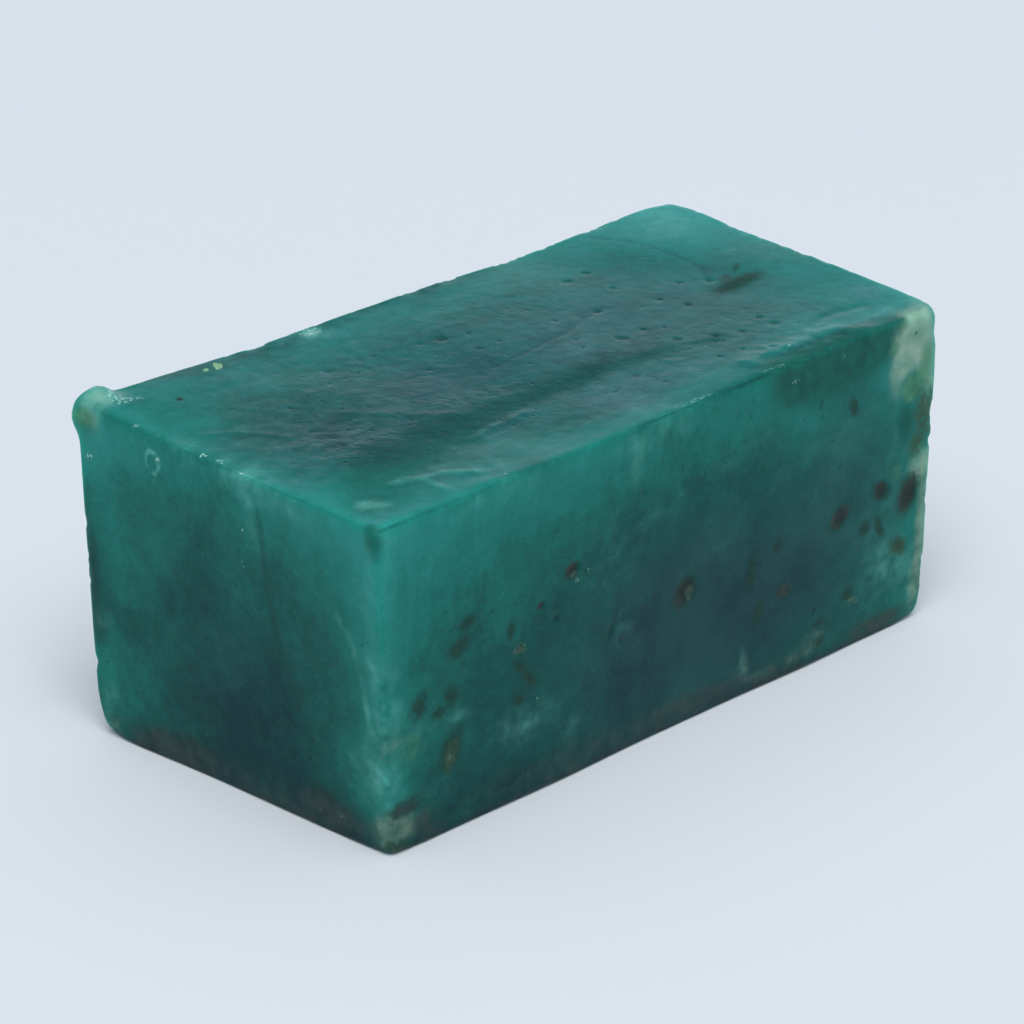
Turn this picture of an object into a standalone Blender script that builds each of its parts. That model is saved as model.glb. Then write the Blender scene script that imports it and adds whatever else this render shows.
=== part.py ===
"""A rough block of emerald, sawn to a brick and left unpolished, lying on its flat underside.

One solid: the sawn brick is out of square at every corner, its edges and corners are worn round, its
faces carry slow saw waves, and a small knob stands on the top at one end. Metres, +Z up. The origin is
on the underside, below the middle of the block's box. +X runs along the block.
"""

import math

import bmesh
import bpy
from mathutils import Vector

MM = 0.001

# Driving dimensions: the box that the sawn faces fill.
LENGTH = 70.4 * MM
DEPTH = 35.2 * MM
HEIGHT = 29.1 * MM

# How far each corner of the block stands in from that box, along the length and across the depth.
# The near side is -Y and the far side is +Y; the left end is -X and the right end is +X.
CORNER_INSETS = {
    ("left", "near", "top"): (0.4 * MM, 0.0 * MM),
    ("left", "far", "top"): (0.5 * MM, 0.0 * MM),
    ("right", "near", "top"): (3.5 * MM, 0.5 * MM),
    ("right", "far", "top"): (0.0 * MM, 0.0 * MM),
    ("left", "near", "bottom"): (2.7 * MM, 1.4 * MM),
    ("left", "far", "bottom"): (0.4 * MM, 1.0 * MM),
    ("right", "near", "bottom"): (4.4 * MM, 0.2 * MM),
    ("right", "far", "bottom"): (1.6 * MM, 0.5 * MM),
}

# The edges are worn to a small round, and some corners are worn further.
EDGE_RADIUS = 0.55 * MM
WEAR_REACH = 2.6 * MM
CORNER_WEAR = {
    ("left", "far", "bottom"): 1.3 * MM,
    ("left", "near", "bottom"): 0.5 * MM,
    ("left", "near", "top"): 0.3 * MM,
    ("right", "near", "top"): 0.7 * MM,
    ("right", "far", "top"): 1.3 * MM,
    ("right", "near", "bottom"): 0.9 * MM,
    ("right", "far", "bottom"): 1.0 * MM,
}

# Slow waves that the saw left on the faces: wavelength, height, and the direction they run in.
SAW_WAVES = (
    (31.0 * MM, 0.12 * MM, Vector((0.9, 0.3, 0.2))),
    (17.0 * MM, 0.04 * MM, Vector((0.3, -0.8, 0.5))),
    (11.0 * MM, 0.025 * MM, Vector((0.7, 0.4, -0.6))),
)
# Halfway along and halfway across the block, its faces and edges bow in by this much.
FACE_BOW = 0.24 * MM

# Lumps at the left end's far top corner: a knob on the top, and a grain that swells out of the corner.
# Each has its place in from the corner (along, across and down), its radius, and how far it stands out.
CORNER_LUMPS = (
    (Vector((1.4, -1.4, 0.0)) * MM, 1.5 * MM, Vector((0.0, 0.0, 1.3)) * MM),
    (Vector((0.2, -0.2, -1.4)) * MM, 1.1 * MM, Vector((-0.35, 0.35, 0.0)) * MM),
)

# Loop cuts: close together over the worn edges, then wider across the faces.
EDGE_CUTS = (0.4, 1.0, 2.0, 3.6)
FACE_CUT_SPACING = 2.4 * MM

EMERALD_GREEN = (0.022, 0.165, 0.140, 1.0)
EMERALD_ROUGHNESS = 0.38
EMERALD_IOR = 1.58

SIDES = {"left": -1, "right": 1, "near": -1, "far": 1, "bottom": -1, "top": 1}


def cut_positions(size):
    """Places of the loop cuts across one side of the box, from its middle, closer near its ends."""
    near_edge = [size / 2 - step * EDGE_RADIUS for step in EDGE_CUTS]
    inner = near_edge[-1]
    count = math.ceil(2 * inner / FACE_CUT_SPACING)
    across = [-inner + 2 * inner * i / count for i in range(1, count)]
    return sorted([-p for p in near_edge] + across + near_edge)


def sawn_box():
    """A closed box centred on the origin, cut by loops along all three axes."""
    bm = bmesh.new()
    bmesh.ops.create_cube(bm, size=1.0)
    bmesh.ops.scale(bm, vec=(LENGTH, DEPTH, HEIGHT), verts=bm.verts)
    for axis, size in enumerate((LENGTH, DEPTH, HEIGHT)):
        normal = Vector((0.0, 0.0, 0.0))
        normal[axis] = 1.0
        for position in cut_positions(size):
            geometry = bm.verts[:] + bm.edges[:] + bm.faces[:]
            bmesh.ops.bisect_plane(
                bm, geom=geometry, plane_co=normal * position, plane_no=normal, dist=1e-7
            )
    return bm


def box_corner(name):
    """The corner of the full box that a name such as ("left", "near", "top") stands for."""
    x, y, z = (SIDES[word] for word in name)
    return Vector((x * LENGTH / 2, y * DEPTH / 2, z * HEIGHT / 2))


def block_corner(name):
    """The same corner of the block, moved in by its insets."""
    corner = box_corner(name)
    along, across = CORNER_INSETS[name]
    corner.x -= math.copysign(along, corner.x)
    corner.y -= math.copysign(across, corner.y)
    return corner


def wear_radius(point):
    """The edge radius at a point, larger near the corners that are worn further."""
    radius = EDGE_RADIUS
    for name, extra in CORNER_WEAR.items():
        distance = (point - box_corner(name)).length
        radius += extra * math.exp(-((distance / WEAR_REACH) ** 2))
    return radius


def rounded(point):
    """A point of the box's surface drawn in to the rounded box, and the normal there."""
    radius = wear_radius(point)
    half = Vector((LENGTH, DEPTH, HEIGHT)) / 2
    core = Vector(
        max(-(h - radius), min(h - radius, p)) for p, h in zip(point, half)
    )
    normal = (point - core).normalized()
    return core + radius * normal, normal


def warped(point):
    """A point of the square box carried over to the block, which is out of square."""
    share = [0.5 + p / size for p, size in zip(point, (LENGTH, DEPTH, HEIGHT))]
    moved = Vector((0.0, 0.0, 0.0))
    for name in CORNER_INSETS:
        weight = 1.0
        for word, part in zip(name, share):
            weight *= part if SIDES[word] > 0 else 1.0 - part
        moved += weight * block_corner(name)
    return moved


def saw_relief(point):
    """Height of the face above or below its plane: slow waves, and the bow along and across."""
    height = 0.0
    for wavelength, wave_height, direction in SAW_WAVES:
        phase = 2 * math.pi * point.dot(direction.normalized()) / wavelength
        height += wave_height * math.sin(phase)
    along = 1 - (2 * point.x / LENGTH) ** 2
    across = 1 - (2 * point.y / DEPTH) ** 2
    return height - FACE_BOW * (along + across)


def lump_shift(point):
    """How far the corner's knob and grain carry a point of the surface outwards."""
    corner = box_corner(("left", "far", "top"))
    shift = Vector((0.0, 0.0, 0.0))
    for place, radius, stand_out in CORNER_LUMPS:
        distance = (point - corner - place).length
        shift += stand_out * math.exp(-((distance / radius) ** 2))
    return shift


def weathered(point):
    """Where a point of the plain box's surface lies on the finished block."""
    surface, normal = rounded(point)
    lump = lump_shift(surface)
    outward = Vector((normal.x, normal.y, max(normal.z, 0.0)))
    surface += outward * saw_relief(surface)
    return warped(surface) + lump + Vector((0.0, 0.0, HEIGHT / 2))


def emerald_material():
    """Cloudy teal-green beryl with a ground, slightly waxy surface."""
    material = bpy.data.materials.new("cloudy_emerald")
    material.use_nodes = True
    material.diffuse_color = EMERALD_GREEN
    shader = material.node_tree.nodes["Principled BSDF"]
    shader.inputs["Base Color"].default_value = EMERALD_GREEN
    shader.inputs["Roughness"].default_value = EMERALD_ROUGHNESS
    shader.inputs["Metallic"].default_value = 0.0
    shader.inputs["IOR"].default_value = EMERALD_IOR
    return material


def centre_over_origin(bm):
    """Slides the block so that the origin lies below the middle of its box."""
    for axis in (0, 1):
        places = [v.co[axis] for v in bm.verts]
        middle = (min(places) + max(places)) / 2
        for v in bm.verts:
            v.co[axis] -= middle


def emerald_block():
    """The whole stone as one closed solid."""
    bm = sawn_box()
    for v in bm.verts:
        v.co = weathered(v.co)
    centre_over_origin(bm)
    bmesh.ops.recalc_face_normals(bm, faces=bm.faces)
    mesh = bpy.data.meshes.new("emerald_block")
    bm.to_mesh(mesh)
    bm.free()
    mesh.shade_smooth()
    mesh.materials.append(emerald_material())
    block = bpy.data.objects.new("emerald_block", mesh)
    bpy.context.scene.collection.objects.link(block)
    return block


def main():
    for leftover in list(bpy.data.objects):
        bpy.data.objects.remove(leftover, do_unlink=True)
    emerald_block()


main()
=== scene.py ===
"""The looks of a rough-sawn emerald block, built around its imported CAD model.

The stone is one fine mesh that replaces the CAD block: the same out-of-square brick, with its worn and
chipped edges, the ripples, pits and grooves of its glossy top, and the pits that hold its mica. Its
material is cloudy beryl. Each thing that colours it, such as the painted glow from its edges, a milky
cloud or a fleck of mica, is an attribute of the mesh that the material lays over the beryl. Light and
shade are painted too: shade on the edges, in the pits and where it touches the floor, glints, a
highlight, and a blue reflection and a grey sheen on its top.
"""

import itertools
import logging
import math
from dataclasses import dataclass, field
from enum import Enum
from typing import Self

import bpy
import numpy as np
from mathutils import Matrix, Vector

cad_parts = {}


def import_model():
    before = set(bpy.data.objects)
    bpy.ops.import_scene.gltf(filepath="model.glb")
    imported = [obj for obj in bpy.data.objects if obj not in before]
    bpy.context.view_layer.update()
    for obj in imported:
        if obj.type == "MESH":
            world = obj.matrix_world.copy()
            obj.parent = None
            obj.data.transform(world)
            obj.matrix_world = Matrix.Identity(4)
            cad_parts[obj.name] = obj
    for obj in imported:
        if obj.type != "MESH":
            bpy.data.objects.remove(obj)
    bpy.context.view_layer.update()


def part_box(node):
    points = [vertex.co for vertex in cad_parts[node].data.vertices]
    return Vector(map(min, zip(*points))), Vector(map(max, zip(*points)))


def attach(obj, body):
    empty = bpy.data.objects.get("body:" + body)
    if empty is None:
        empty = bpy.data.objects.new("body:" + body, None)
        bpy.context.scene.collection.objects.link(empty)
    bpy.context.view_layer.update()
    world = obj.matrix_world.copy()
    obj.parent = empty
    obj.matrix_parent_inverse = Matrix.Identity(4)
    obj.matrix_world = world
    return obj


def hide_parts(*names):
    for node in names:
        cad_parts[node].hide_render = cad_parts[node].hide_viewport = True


log = logging.getLogger("emerald")

MM = 0.001
Point = tuple[float, float, float]
Tree = bpy.types.NodeTree
Socket = bpy.types.NodeSocket

# Large odd numbers. The first three mix the numbers of a lattice point, and the others mix the bits.
POINT_MIXERS = np.array([73856093, 19349663, 83492791])
SEED_MIXER, FIRST_MIXER, SECOND_MIXER = 2654435761, 1274126177, 668265263
LOW_32_BITS, LOW_24_BITS = 0xFFFFFFFF, 0xFFFFFF


# ---------------------------------------------------------------------------------------------------
# Small helpers
# ---------------------------------------------------------------------------------------------------


def linear(hex_colour: str) -> tuple[float, float, float, float]:
    """Turns an sRGB hex colour into the linear colour that a shader takes.

    Args:
        hex_colour: a colour such as "#2A7F62".

    Returns:
        Linear red, green and blue, by the sRGB standard's own curve, and an alpha of 1.
    """
    parts = [int(hex_colour[i : i + 2], 16) / 255 for i in (1, 3, 5)]
    red, green, blue = (p / 12.92 if p <= 0.04045 else ((p + 0.055) / 1.055) ** 2.4 for p in parts)
    return red, green, blue, 1.0


def smooth_step(values: np.ndarray, start: float, end: float) -> np.ndarray:
    """Rises smoothly from 0 at start to 1 at end: 3t^2 - 2t^3, with t the share of the way."""
    share = np.clip((values - start) / (end - start), 0.0, 1.0)
    return share * share * (3.0 - 2.0 * share)


def bell(values: np.ndarray, width: float) -> np.ndarray:
    """A bell curve, 1 at 0 and falling to 1/e at the given width."""
    return np.exp(-((values / width) ** 2))


def lattice_noise(points: np.ndarray, cell: float, seed: int) -> np.ndarray:
    """Smooth 3-D noise: a hashed value at each point of a lattice, blended with a quintic curve.

    Args:
        points: positions, one row each.
        cell: the size of the lattice's cells.
        seed: picks one of the noise fields.

    Returns:
        One value between -1 and 1 for each point.
    """
    grid = points / cell
    base = np.floor(grid).astype(np.int64)
    part = grid - base
    part = part * part * part * (part * (part * 6.0 - 15.0) + 10.0)
    total = np.zeros(len(points))
    for corner in itertools.product((0, 1), repeat=3):
        mixed = ((base + np.asarray(corner)) * POINT_MIXERS).sum(axis=1) ^ (seed * SEED_MIXER)
        mixed = ((mixed ^ (mixed >> 13)) * FIRST_MIXER) & LOW_32_BITS
        mixed = ((mixed ^ (mixed >> 16)) * SECOND_MIXER) & LOW_32_BITS
        value = (mixed >> 8) / float(LOW_24_BITS) * 2.0 - 1.0
        total += value * np.where(corner, part, 1.0 - part).prod(axis=1)
    return total


@dataclass(frozen=True)
class Noise:
    """A noise of several layers: the first one's cell size, how many there are, a seed and a height."""

    cell: float
    layers: int
    seed: int
    height: float = 1.0
    # What brings the sum of the layers back to about -1 to 1, and the step between their seeds.
    spread: float = 1.5
    seed_step: int = 17

    def at(self, points: np.ndarray) -> np.ndarray:
        """Sums the layers, each with half the cell size and half the height of the last.

        Args:
            points: positions, one row each.

        Returns:
            One value, mostly between minus and plus the noise's height, for each point.
        """
        total = np.zeros(len(points))
        for layer in range(self.layers):
            seed = self.seed + self.seed_step * layer
            total += lattice_noise(points, self.cell / 2**layer, seed) / 2**layer
        return self.height * (total / self.spread)


# ---------------------------------------------------------------------------------------------------
# The stone's form
# ---------------------------------------------------------------------------------------------------


class Side(Enum):
    """The block's faces, each as the axis it faces along and the way it faces."""

    LEFT = (0, -1)
    RIGHT = (0, 1)
    NEAR = (1, -1)
    FAR = (1, 1)
    UNDERSIDE = (2, -1)
    TOP = (2, 1)


@dataclass(frozen=True)
class Corner:
    """One corner of the block: which one, how far it stands in from the box, and its extra wear."""

    ends: tuple[int, int, int]
    along: float
    across: float
    wear: float


@dataclass(frozen=True)
class Lump:
    """A lump that swells out of the left end's far top corner."""

    place: Point
    radius: float
    stand_out: Point


@dataclass(frozen=True)
class SawWave:
    """A slow wave that the saw left in the faces: its length, its height and the way it runs."""

    length: float
    height: float
    heading: Point


@dataclass
class BlockForm:
    """The out-of-square sawn brick, as a map from a plain box's surface to the stone's surface.

    The sizes repeat those of the CAD block. The plain box is worked out from the CAD block's own box.
    """

    low: Vector
    high: Vector
    worn_length: float = 0.20 * MM
    worn_depth: float = -0.14 * MM
    knob_height: float = 1.25 * MM
    edge_radius: float = 0.55 * MM
    wear_reach: float = 2.6 * MM
    face_bow: float = 0.24 * MM
    corners: tuple[Corner, ...] = (
        Corner((-1, -1, 1), 0.4 * MM, 0.0 * MM, 0.3 * MM),
        Corner((-1, 1, 1), 0.5 * MM, 0.0 * MM, 0.0 * MM),
        Corner((1, -1, 1), 3.5 * MM, 0.5 * MM, 0.7 * MM),
        Corner((1, 1, 1), 0.0 * MM, 0.0 * MM, 1.3 * MM),
        Corner((-1, -1, -1), 2.7 * MM, 1.4 * MM, 0.5 * MM),
        Corner((-1, 1, -1), 0.4 * MM, 1.0 * MM, 1.3 * MM),
        Corner((1, -1, -1), 4.4 * MM, 0.2 * MM, 0.9 * MM),
        Corner((1, 1, -1), 1.6 * MM, 0.5 * MM, 1.0 * MM),
    )
    saw_waves: tuple[SawWave, ...] = (
        SawWave(31.0 * MM, 0.12 * MM, (0.9, 0.3, 0.2)),
        SawWave(17.0 * MM, 0.04 * MM, (0.3, -0.8, 0.5)),
        SawWave(11.0 * MM, 0.025 * MM, (0.7, 0.4, -0.6)),
    )
    lumps: tuple[Lump, ...] = (
        Lump((1.4 * MM, -1.4 * MM, 0.0), 1.5 * MM, (0.0, 0.0, 1.3 * MM)),
        Lump((0.2 * MM, -0.2 * MM, -1.4 * MM), 1.1 * MM, (-0.35 * MM, 0.35 * MM, 0.0)),
    )
    size: np.ndarray = field(init=False)

    def __post_init__(self) -> None:
        """Works out the plain box from the CAD block's box."""
        whole = np.array(self.high - self.low)
        self.size = whole + np.array([self.worn_length, self.worn_depth, -self.knob_height])

    def corner_point(self, ends: tuple[int, int, int]) -> np.ndarray:
        """The plain box's corner at the named ends."""
        return np.array(ends) * self.size / 2

    def wear_radius(self, points: np.ndarray) -> np.ndarray:
        """The edge radius at each point: the usual one, plus a bell of extra wear at each corner.

        Args:
            points: places on the plain box.

        Returns:
            The radii.
        """
        radius = np.full(len(points), self.edge_radius)
        for corner in self.corners:
            distance = np.linalg.norm(points - self.corner_point(corner.ends), axis=1)
            radius += corner.wear * bell(distance, self.wear_reach)
        return radius

    def rounded(self, points: np.ndarray) -> tuple[np.ndarray, np.ndarray]:
        """Draws the plain box's surface in to a rounded box.

        Each point moves to the sphere of the edge radius around its nearest point in the box that is
        smaller by that radius on every side.

        Args:
            points: places on the plain box.

        Returns:
            The places on the rounded box, and the normals there.
        """
        radius = self.wear_radius(points)[:, None]
        reach = self.size / 2 - radius
        core = np.clip(points, -reach, reach)
        normals = points - core
        normals /= np.linalg.norm(normals, axis=1)[:, None]
        return core + radius * normals, normals

    def warped(self, points: np.ndarray) -> np.ndarray:
        """Carries points of the square box to the out-of-square block, by blending its eight corners.

        Args:
            points: places in the square box.

        Returns:
            Their places in the block.
        """
        share = 0.5 + points / self.size
        moved = np.zeros_like(points)
        for corner in self.corners:
            weight = np.where(np.array(corner.ends) > 0, share, 1.0 - share).prod(axis=1)
            inset = np.array([corner.ends[0] * corner.along, corner.ends[1] * corner.across, 0.0])
            moved += weight[:, None] * (self.corner_point(corner.ends) - inset)
        return moved

    def saw_relief(self, points: np.ndarray) -> np.ndarray:
        """The faces' height: a sine for each saw wave, less the bow halfway along and across.

        Args:
            points: places on the rounded box.

        Returns:
            The height at each place.
        """
        height = np.zeros(len(points))
        for wave in self.saw_waves:
            heading = np.array(wave.heading) / np.linalg.norm(wave.heading)
            height += wave.height * np.sin(2 * np.pi * (points @ heading) / wave.length)
        bow = 2.0 - ((2 * points[:, :2] / self.size[:2]) ** 2).sum(axis=1)
        return height - self.face_bow * bow

    def lump_shift(self, points: np.ndarray) -> np.ndarray:
        """How far the knob and its grain carry each point: a bell of the distance to each one's middle.

        Args:
            points: places on the rounded box.

        Returns:
            The shifts, one row each.
        """
        shift = np.zeros_like(points)
        for lump in self.lumps:
            middle = self.corner_point((-1, 1, 1)) + np.array(lump.place)
            distance = np.linalg.norm(points - middle, axis=1)
            shift += bell(distance, lump.radius)[:, None] * np.array(lump.stand_out)
        return shift

    def surface(self, points: np.ndarray) -> "Surface":
        """Carries the plain box's surface to the block's, and sets it over the origin.

        Args:
            points: places on the plain box, centred on the origin.

        Returns:
            The block's surface in the row frame.
        """
        places, normals = self.rounded(points)
        lumps = self.lump_shift(places)
        outward = normals.copy()
        outward[:, 2] = np.maximum(outward[:, 2], 0.0)
        places = places + outward * self.saw_relief(places)[:, None]
        places = self.warped(places) + lumps
        places[:, 2] += self.size[2] / 2
        places[:, :2] -= (places.min(axis=0) + places.max(axis=0))[:2] / 2
        return Surface(self.size, points, places, normals)


@dataclass(frozen=True)
class Surface:
    """Points of the stone's surface, as arrays with a row for each.

    box_points are their places on the plain box, and places are their places on the stone. They face
    a side where their normal's part along it is above full_on, and don't where it is under side_on.
    """

    size: np.ndarray
    box_points: np.ndarray
    places: np.ndarray
    normals: np.ndarray
    side_on: float = 0.5
    full_on: float = 0.95

    def facing(self, side: Side) -> np.ndarray:
        """How much each point faces a side's way: 1 on its face, falling to 0 round its edges."""
        axis, way = side.value
        return smooth_step(way * self.normals[:, axis], self.side_on, self.full_on)

    def gap(self, side: Side) -> np.ndarray:
        """How far each point lies from a side, in millimetres, measured on the plain box."""
        axis, way = side.value
        return (self.size[axis] / 2 - way * self.box_points[:, axis]) / MM

    def level(self, side: Side) -> np.ndarray:
        """How far along a side each point lies, in millimetres: along Y on the ends, along X elsewhere."""
        return self.places[:, 1 if side.value[0] == 0 else 0] / MM

    def rise(self, side: Side) -> np.ndarray:
        """How far up a side each point lies, in millimetres: along Y on the top and underside."""
        return self.places[:, 1 if side.value[0] == 2 else 2] / MM

    def edge_gap(self) -> np.ndarray:
        """How far each point lies from its nearest edge: its distance to the second nearest side."""
        gaps = np.stack([self.gap(side) for side in Side], axis=1)
        return np.sort(gaps, axis=1)[:, 1]


@dataclass(frozen=True)
class SurfaceLattice:
    """The surface of a box as six grids of quads, welded along the box's edges.

    The grid lines stand close together next to the edges, where the rounding needs them, and closer
    along and across the stone than up it, because its finest relief is on its top.
    """

    size: np.ndarray
    spacing: Point = (0.335 * MM, 0.335 * MM, 0.45 * MM)
    edge_steps: tuple[float, ...] = (0.0, 0.17 * MM, 0.36 * MM, 0.60 * MM)

    def lines(self, axis: int) -> np.ndarray:
        """Places the grid lines along one axis, from one face of the box to the other.

        Args:
            axis: 0, 1 or 2, for X, Y or Z.

        Returns:
            The places, in order.
        """
        edge = self.size[axis] / 2 - np.array(self.edge_steps)
        inner = edge[-1]
        count = int(round(2 * inner / self.spacing[axis]))
        across = np.linspace(-inner, inner, count + 1)
        return np.concatenate([-edge[:-1], across, edge[:-1][::-1]])

    def build(self) -> tuple[np.ndarray, np.ndarray]:
        """Makes the lattice.

        A point of the 3-D lattice belongs to the surface if one of its three indices is first or
        last. Those points are numbered in order, and each face joins its own grid of numbers.

        Returns:
            The points, one row each, and the quads as four point numbers each, facing outwards.
        """
        lines = [self.lines(axis) for axis in range(3)]
        counts = tuple(len(line) for line in lines)
        on_surface = np.zeros(counts, dtype=bool)
        for axis in range(3):
            view = np.moveaxis(on_surface, axis, 0)
            view[0] = view[-1] = True
        number = np.full(counts, -1, dtype=np.int64)
        number[on_surface] = np.arange(on_surface.sum())
        i, j, k = np.nonzero(on_surface)
        points = np.stack([lines[0][i], lines[1][j], lines[2][k]], axis=1)
        quads = []
        for side in Side:
            axis, way = side.value
            grid = np.moveaxis(number, axis, 0)[-1 if way > 0 else 0]
            quad = np.stack([grid[:-1, :-1], grid[1:, :-1], grid[1:, 1:], grid[:-1, 1:]], axis=-1)
            quad = quad.reshape(-1, 4)
            turned = (way > 0) == (axis == 1)
            quads.append(quad[:, ::-1] if turned else quad)
        return points, np.concatenate(quads)


# ---------------------------------------------------------------------------------------------------
# Marks on the stone, each placed on one side in millimetres
# ---------------------------------------------------------------------------------------------------

# The sawn faces that marks are scattered over, in millimetres.
HALF_LENGTH, HALF_DEPTH, HEIGHT = 32.0, 17.0, 29.0


@dataclass(frozen=True)
class Mark:
    """Something on one side of the stone: how far along and how far up that side its middle is."""

    side: Side
    along: float
    up: float

    @classmethod
    def on(cls, side: Side, *rows: tuple[float, ...]) -> tuple[Self, ...]:
        """Makes marks of this kind on one side, each from a row of its sizes, in the fields' order."""
        return tuple(cls(side, *row) for row in rows)

    def offsets(self, surface: Surface) -> tuple[np.ndarray, np.ndarray]:
        """How far along and up from the mark's middle each point lies, in millimetres."""
        return surface.level(self.side) - self.along, surface.rise(self.side) - self.up


@dataclass(frozen=True)
class Zone(Mark):
    """A soft-edged zone in the stone under one side: its middle, its reaches and its strength.

    It goes a little way in from its side, so it comes round an edge that it lies on.
    """

    reach_along: float
    reach_up: float
    strength: float
    reach_in: float = 2.0

    def share(self, surface: Surface) -> np.ndarray:
        """The zone's strength at each point: a bell in all three directions.

        Args:
            surface: the stone's surface.

        Returns:
            The strength at each point.
        """
        level, rise = self.offsets(surface)
        along, up = level / self.reach_along, rise / self.reach_up
        inward = surface.gap(self.side) / self.reach_in
        return self.strength * np.exp(-(along**2 + up**2 + inward**2))


@dataclass(frozen=True)
class Fleck(Mark):
    """A long, narrow patch in one side, tilted up from level by a number of degrees."""

    half_length: float
    half_width: float
    tilt: float = 0.0
    reach_in: float = 0.8

    def nearness(self, surface: Surface) -> np.ndarray:
        """How near each point is to the fleck's middle, measured along, across and into it.

        Args:
            surface: the stone's surface.

        Returns:
            1 at the fleck's middle, 1/2 at its outline, and 0 from twice its size on.
        """
        level, rise = self.offsets(surface)
        turn = math.radians(self.tilt)
        length = (level * math.cos(turn) + rise * math.sin(turn)) / self.half_length
        width = (rise * math.cos(turn) - level * math.sin(turn)) / self.half_width
        distance = np.sqrt(length**2 + width**2 + (surface.gap(self.side) / self.reach_in) ** 2)
        return np.clip(1.0 - distance / 2, 0.0, 1.0)


@dataclass(frozen=True)
class Line:
    """A bent line on one side, how far it reaches each way, and its strength."""

    side: Side
    bends: tuple[tuple[float, float], ...]
    reach: float
    strength: float = 1.0

    def distance(self, surface: Surface) -> np.ndarray:
        """How far each point lies from the nearest straight piece of the line.

        Args:
            surface: the stone's surface.

        Returns:
            The distances, in millimetres.
        """
        point = np.stack([surface.level(self.side), surface.rise(self.side)], axis=1)
        least = np.full(len(point), np.inf)
        for start, end in zip(self.bends[:-1], self.bends[1:]):
            run = np.subtract(end, start)
            offset = point - np.array(start)
            share = np.clip(offset @ run / (run @ run), 0.0, 1.0)
            least = np.minimum(least, np.linalg.norm(offset - share[:, None] * run, axis=1))
        return np.hypot(least, surface.gap(self.side))

    def nearness(self, surface: Surface) -> np.ndarray:
        """The line's strength on the line, half of it at its reach, and 0 from twice its reach on."""
        return self.strength * np.clip(1.0 - self.distance(surface) / self.reach / 2, 0.0, 1.0)


@dataclass(frozen=True)
class Seam(Line):
    """A ridge along a line, or a groove. Its strength is its height in millimetres."""

    raggedness: float = 0.8

    def rise_here(self, surface: Surface, ragged: np.ndarray) -> np.ndarray:
        """The ridge's height: a bell of the distance to its line, which a noise makes uneven."""
        distance = self.distance(surface) + self.raggedness * self.reach * ragged
        return self.strength * MM * bell(distance, self.reach)


@dataclass(frozen=True)
class Pit(Mark):
    """A small bowl sunk in one side, or a low bump where its depth is less than 0."""

    radius: float
    depth: float
    raggedness: float = 0.35

    def nearness(self, surface: Surface, ragged: np.ndarray) -> np.ndarray:
        """How near each point is to the pit's middle, unevenly.

        Args:
            surface: the stone's surface.
            ragged: the noise that makes the pit uneven.

        Returns:
            1 at the pit's middle, 1/2 at its rim, and 0 from twice its radius on.
        """
        across = np.hypot(*self.offsets(surface))
        uneven = 1.0 + self.raggedness * ragged
        distance = np.hypot(across, surface.gap(self.side)) * uneven / self.radius
        return np.clip(1.0 - distance / 2, 0.0, 1.0)

    def rise_here(self, surface: Surface, ragged: np.ndarray) -> np.ndarray:
        """The bowl's height: -depth times (1 - d^2)^2, with d the distance over the radius."""
        distance = 2.0 - 2.0 * self.nearness(surface, ragged)
        return -self.depth * MM * np.clip(1.0 - distance**2, 0.0, None) ** 2


def summed(surface: Surface, zones: tuple[Zone, ...]) -> np.ndarray:
    """The zones' shares at each point of the surface, added up."""
    return np.sum([zone.share(surface) for zone in zones], axis=0)


def nearest(surface: Surface, marks: tuple[Fleck | Line, ...]) -> np.ndarray:
    """The nearness of the nearest mark to each point."""
    return np.max([mark.nearness(surface) for mark in marks], axis=0)


def scattered(draw: np.random.Generator, margin: float) -> tuple[Side, float, float]:
    """Draws a random place on one of the stone's four sides.

    Args:
        draw: the source of random numbers.
        margin: how far from the side's edges the place stays, in millimetres.

    Returns:
        The side, and how far along it and up it the place is.
    """
    side = (Side.LEFT, Side.RIGHT, Side.NEAR, Side.FAR)[draw.integers(0, 4)]
    half = (HALF_DEPTH if side.value[0] == 0 else HALF_LENGTH) - margin
    return side, draw.uniform(-half, half), draw.uniform(margin, HEIGHT - margin)


# ---------------------------------------------------------------------------------------------------
# The stone's relief
# ---------------------------------------------------------------------------------------------------

# The rim of a small round scar, high up on the left end.
RING = ((8.9, 26.9), (8.4, 27.6), (7.6, 27.5), (7.2, 26.6), (7.7, 25.8), (8.5, 26.0), (8.9, 26.9))


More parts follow.
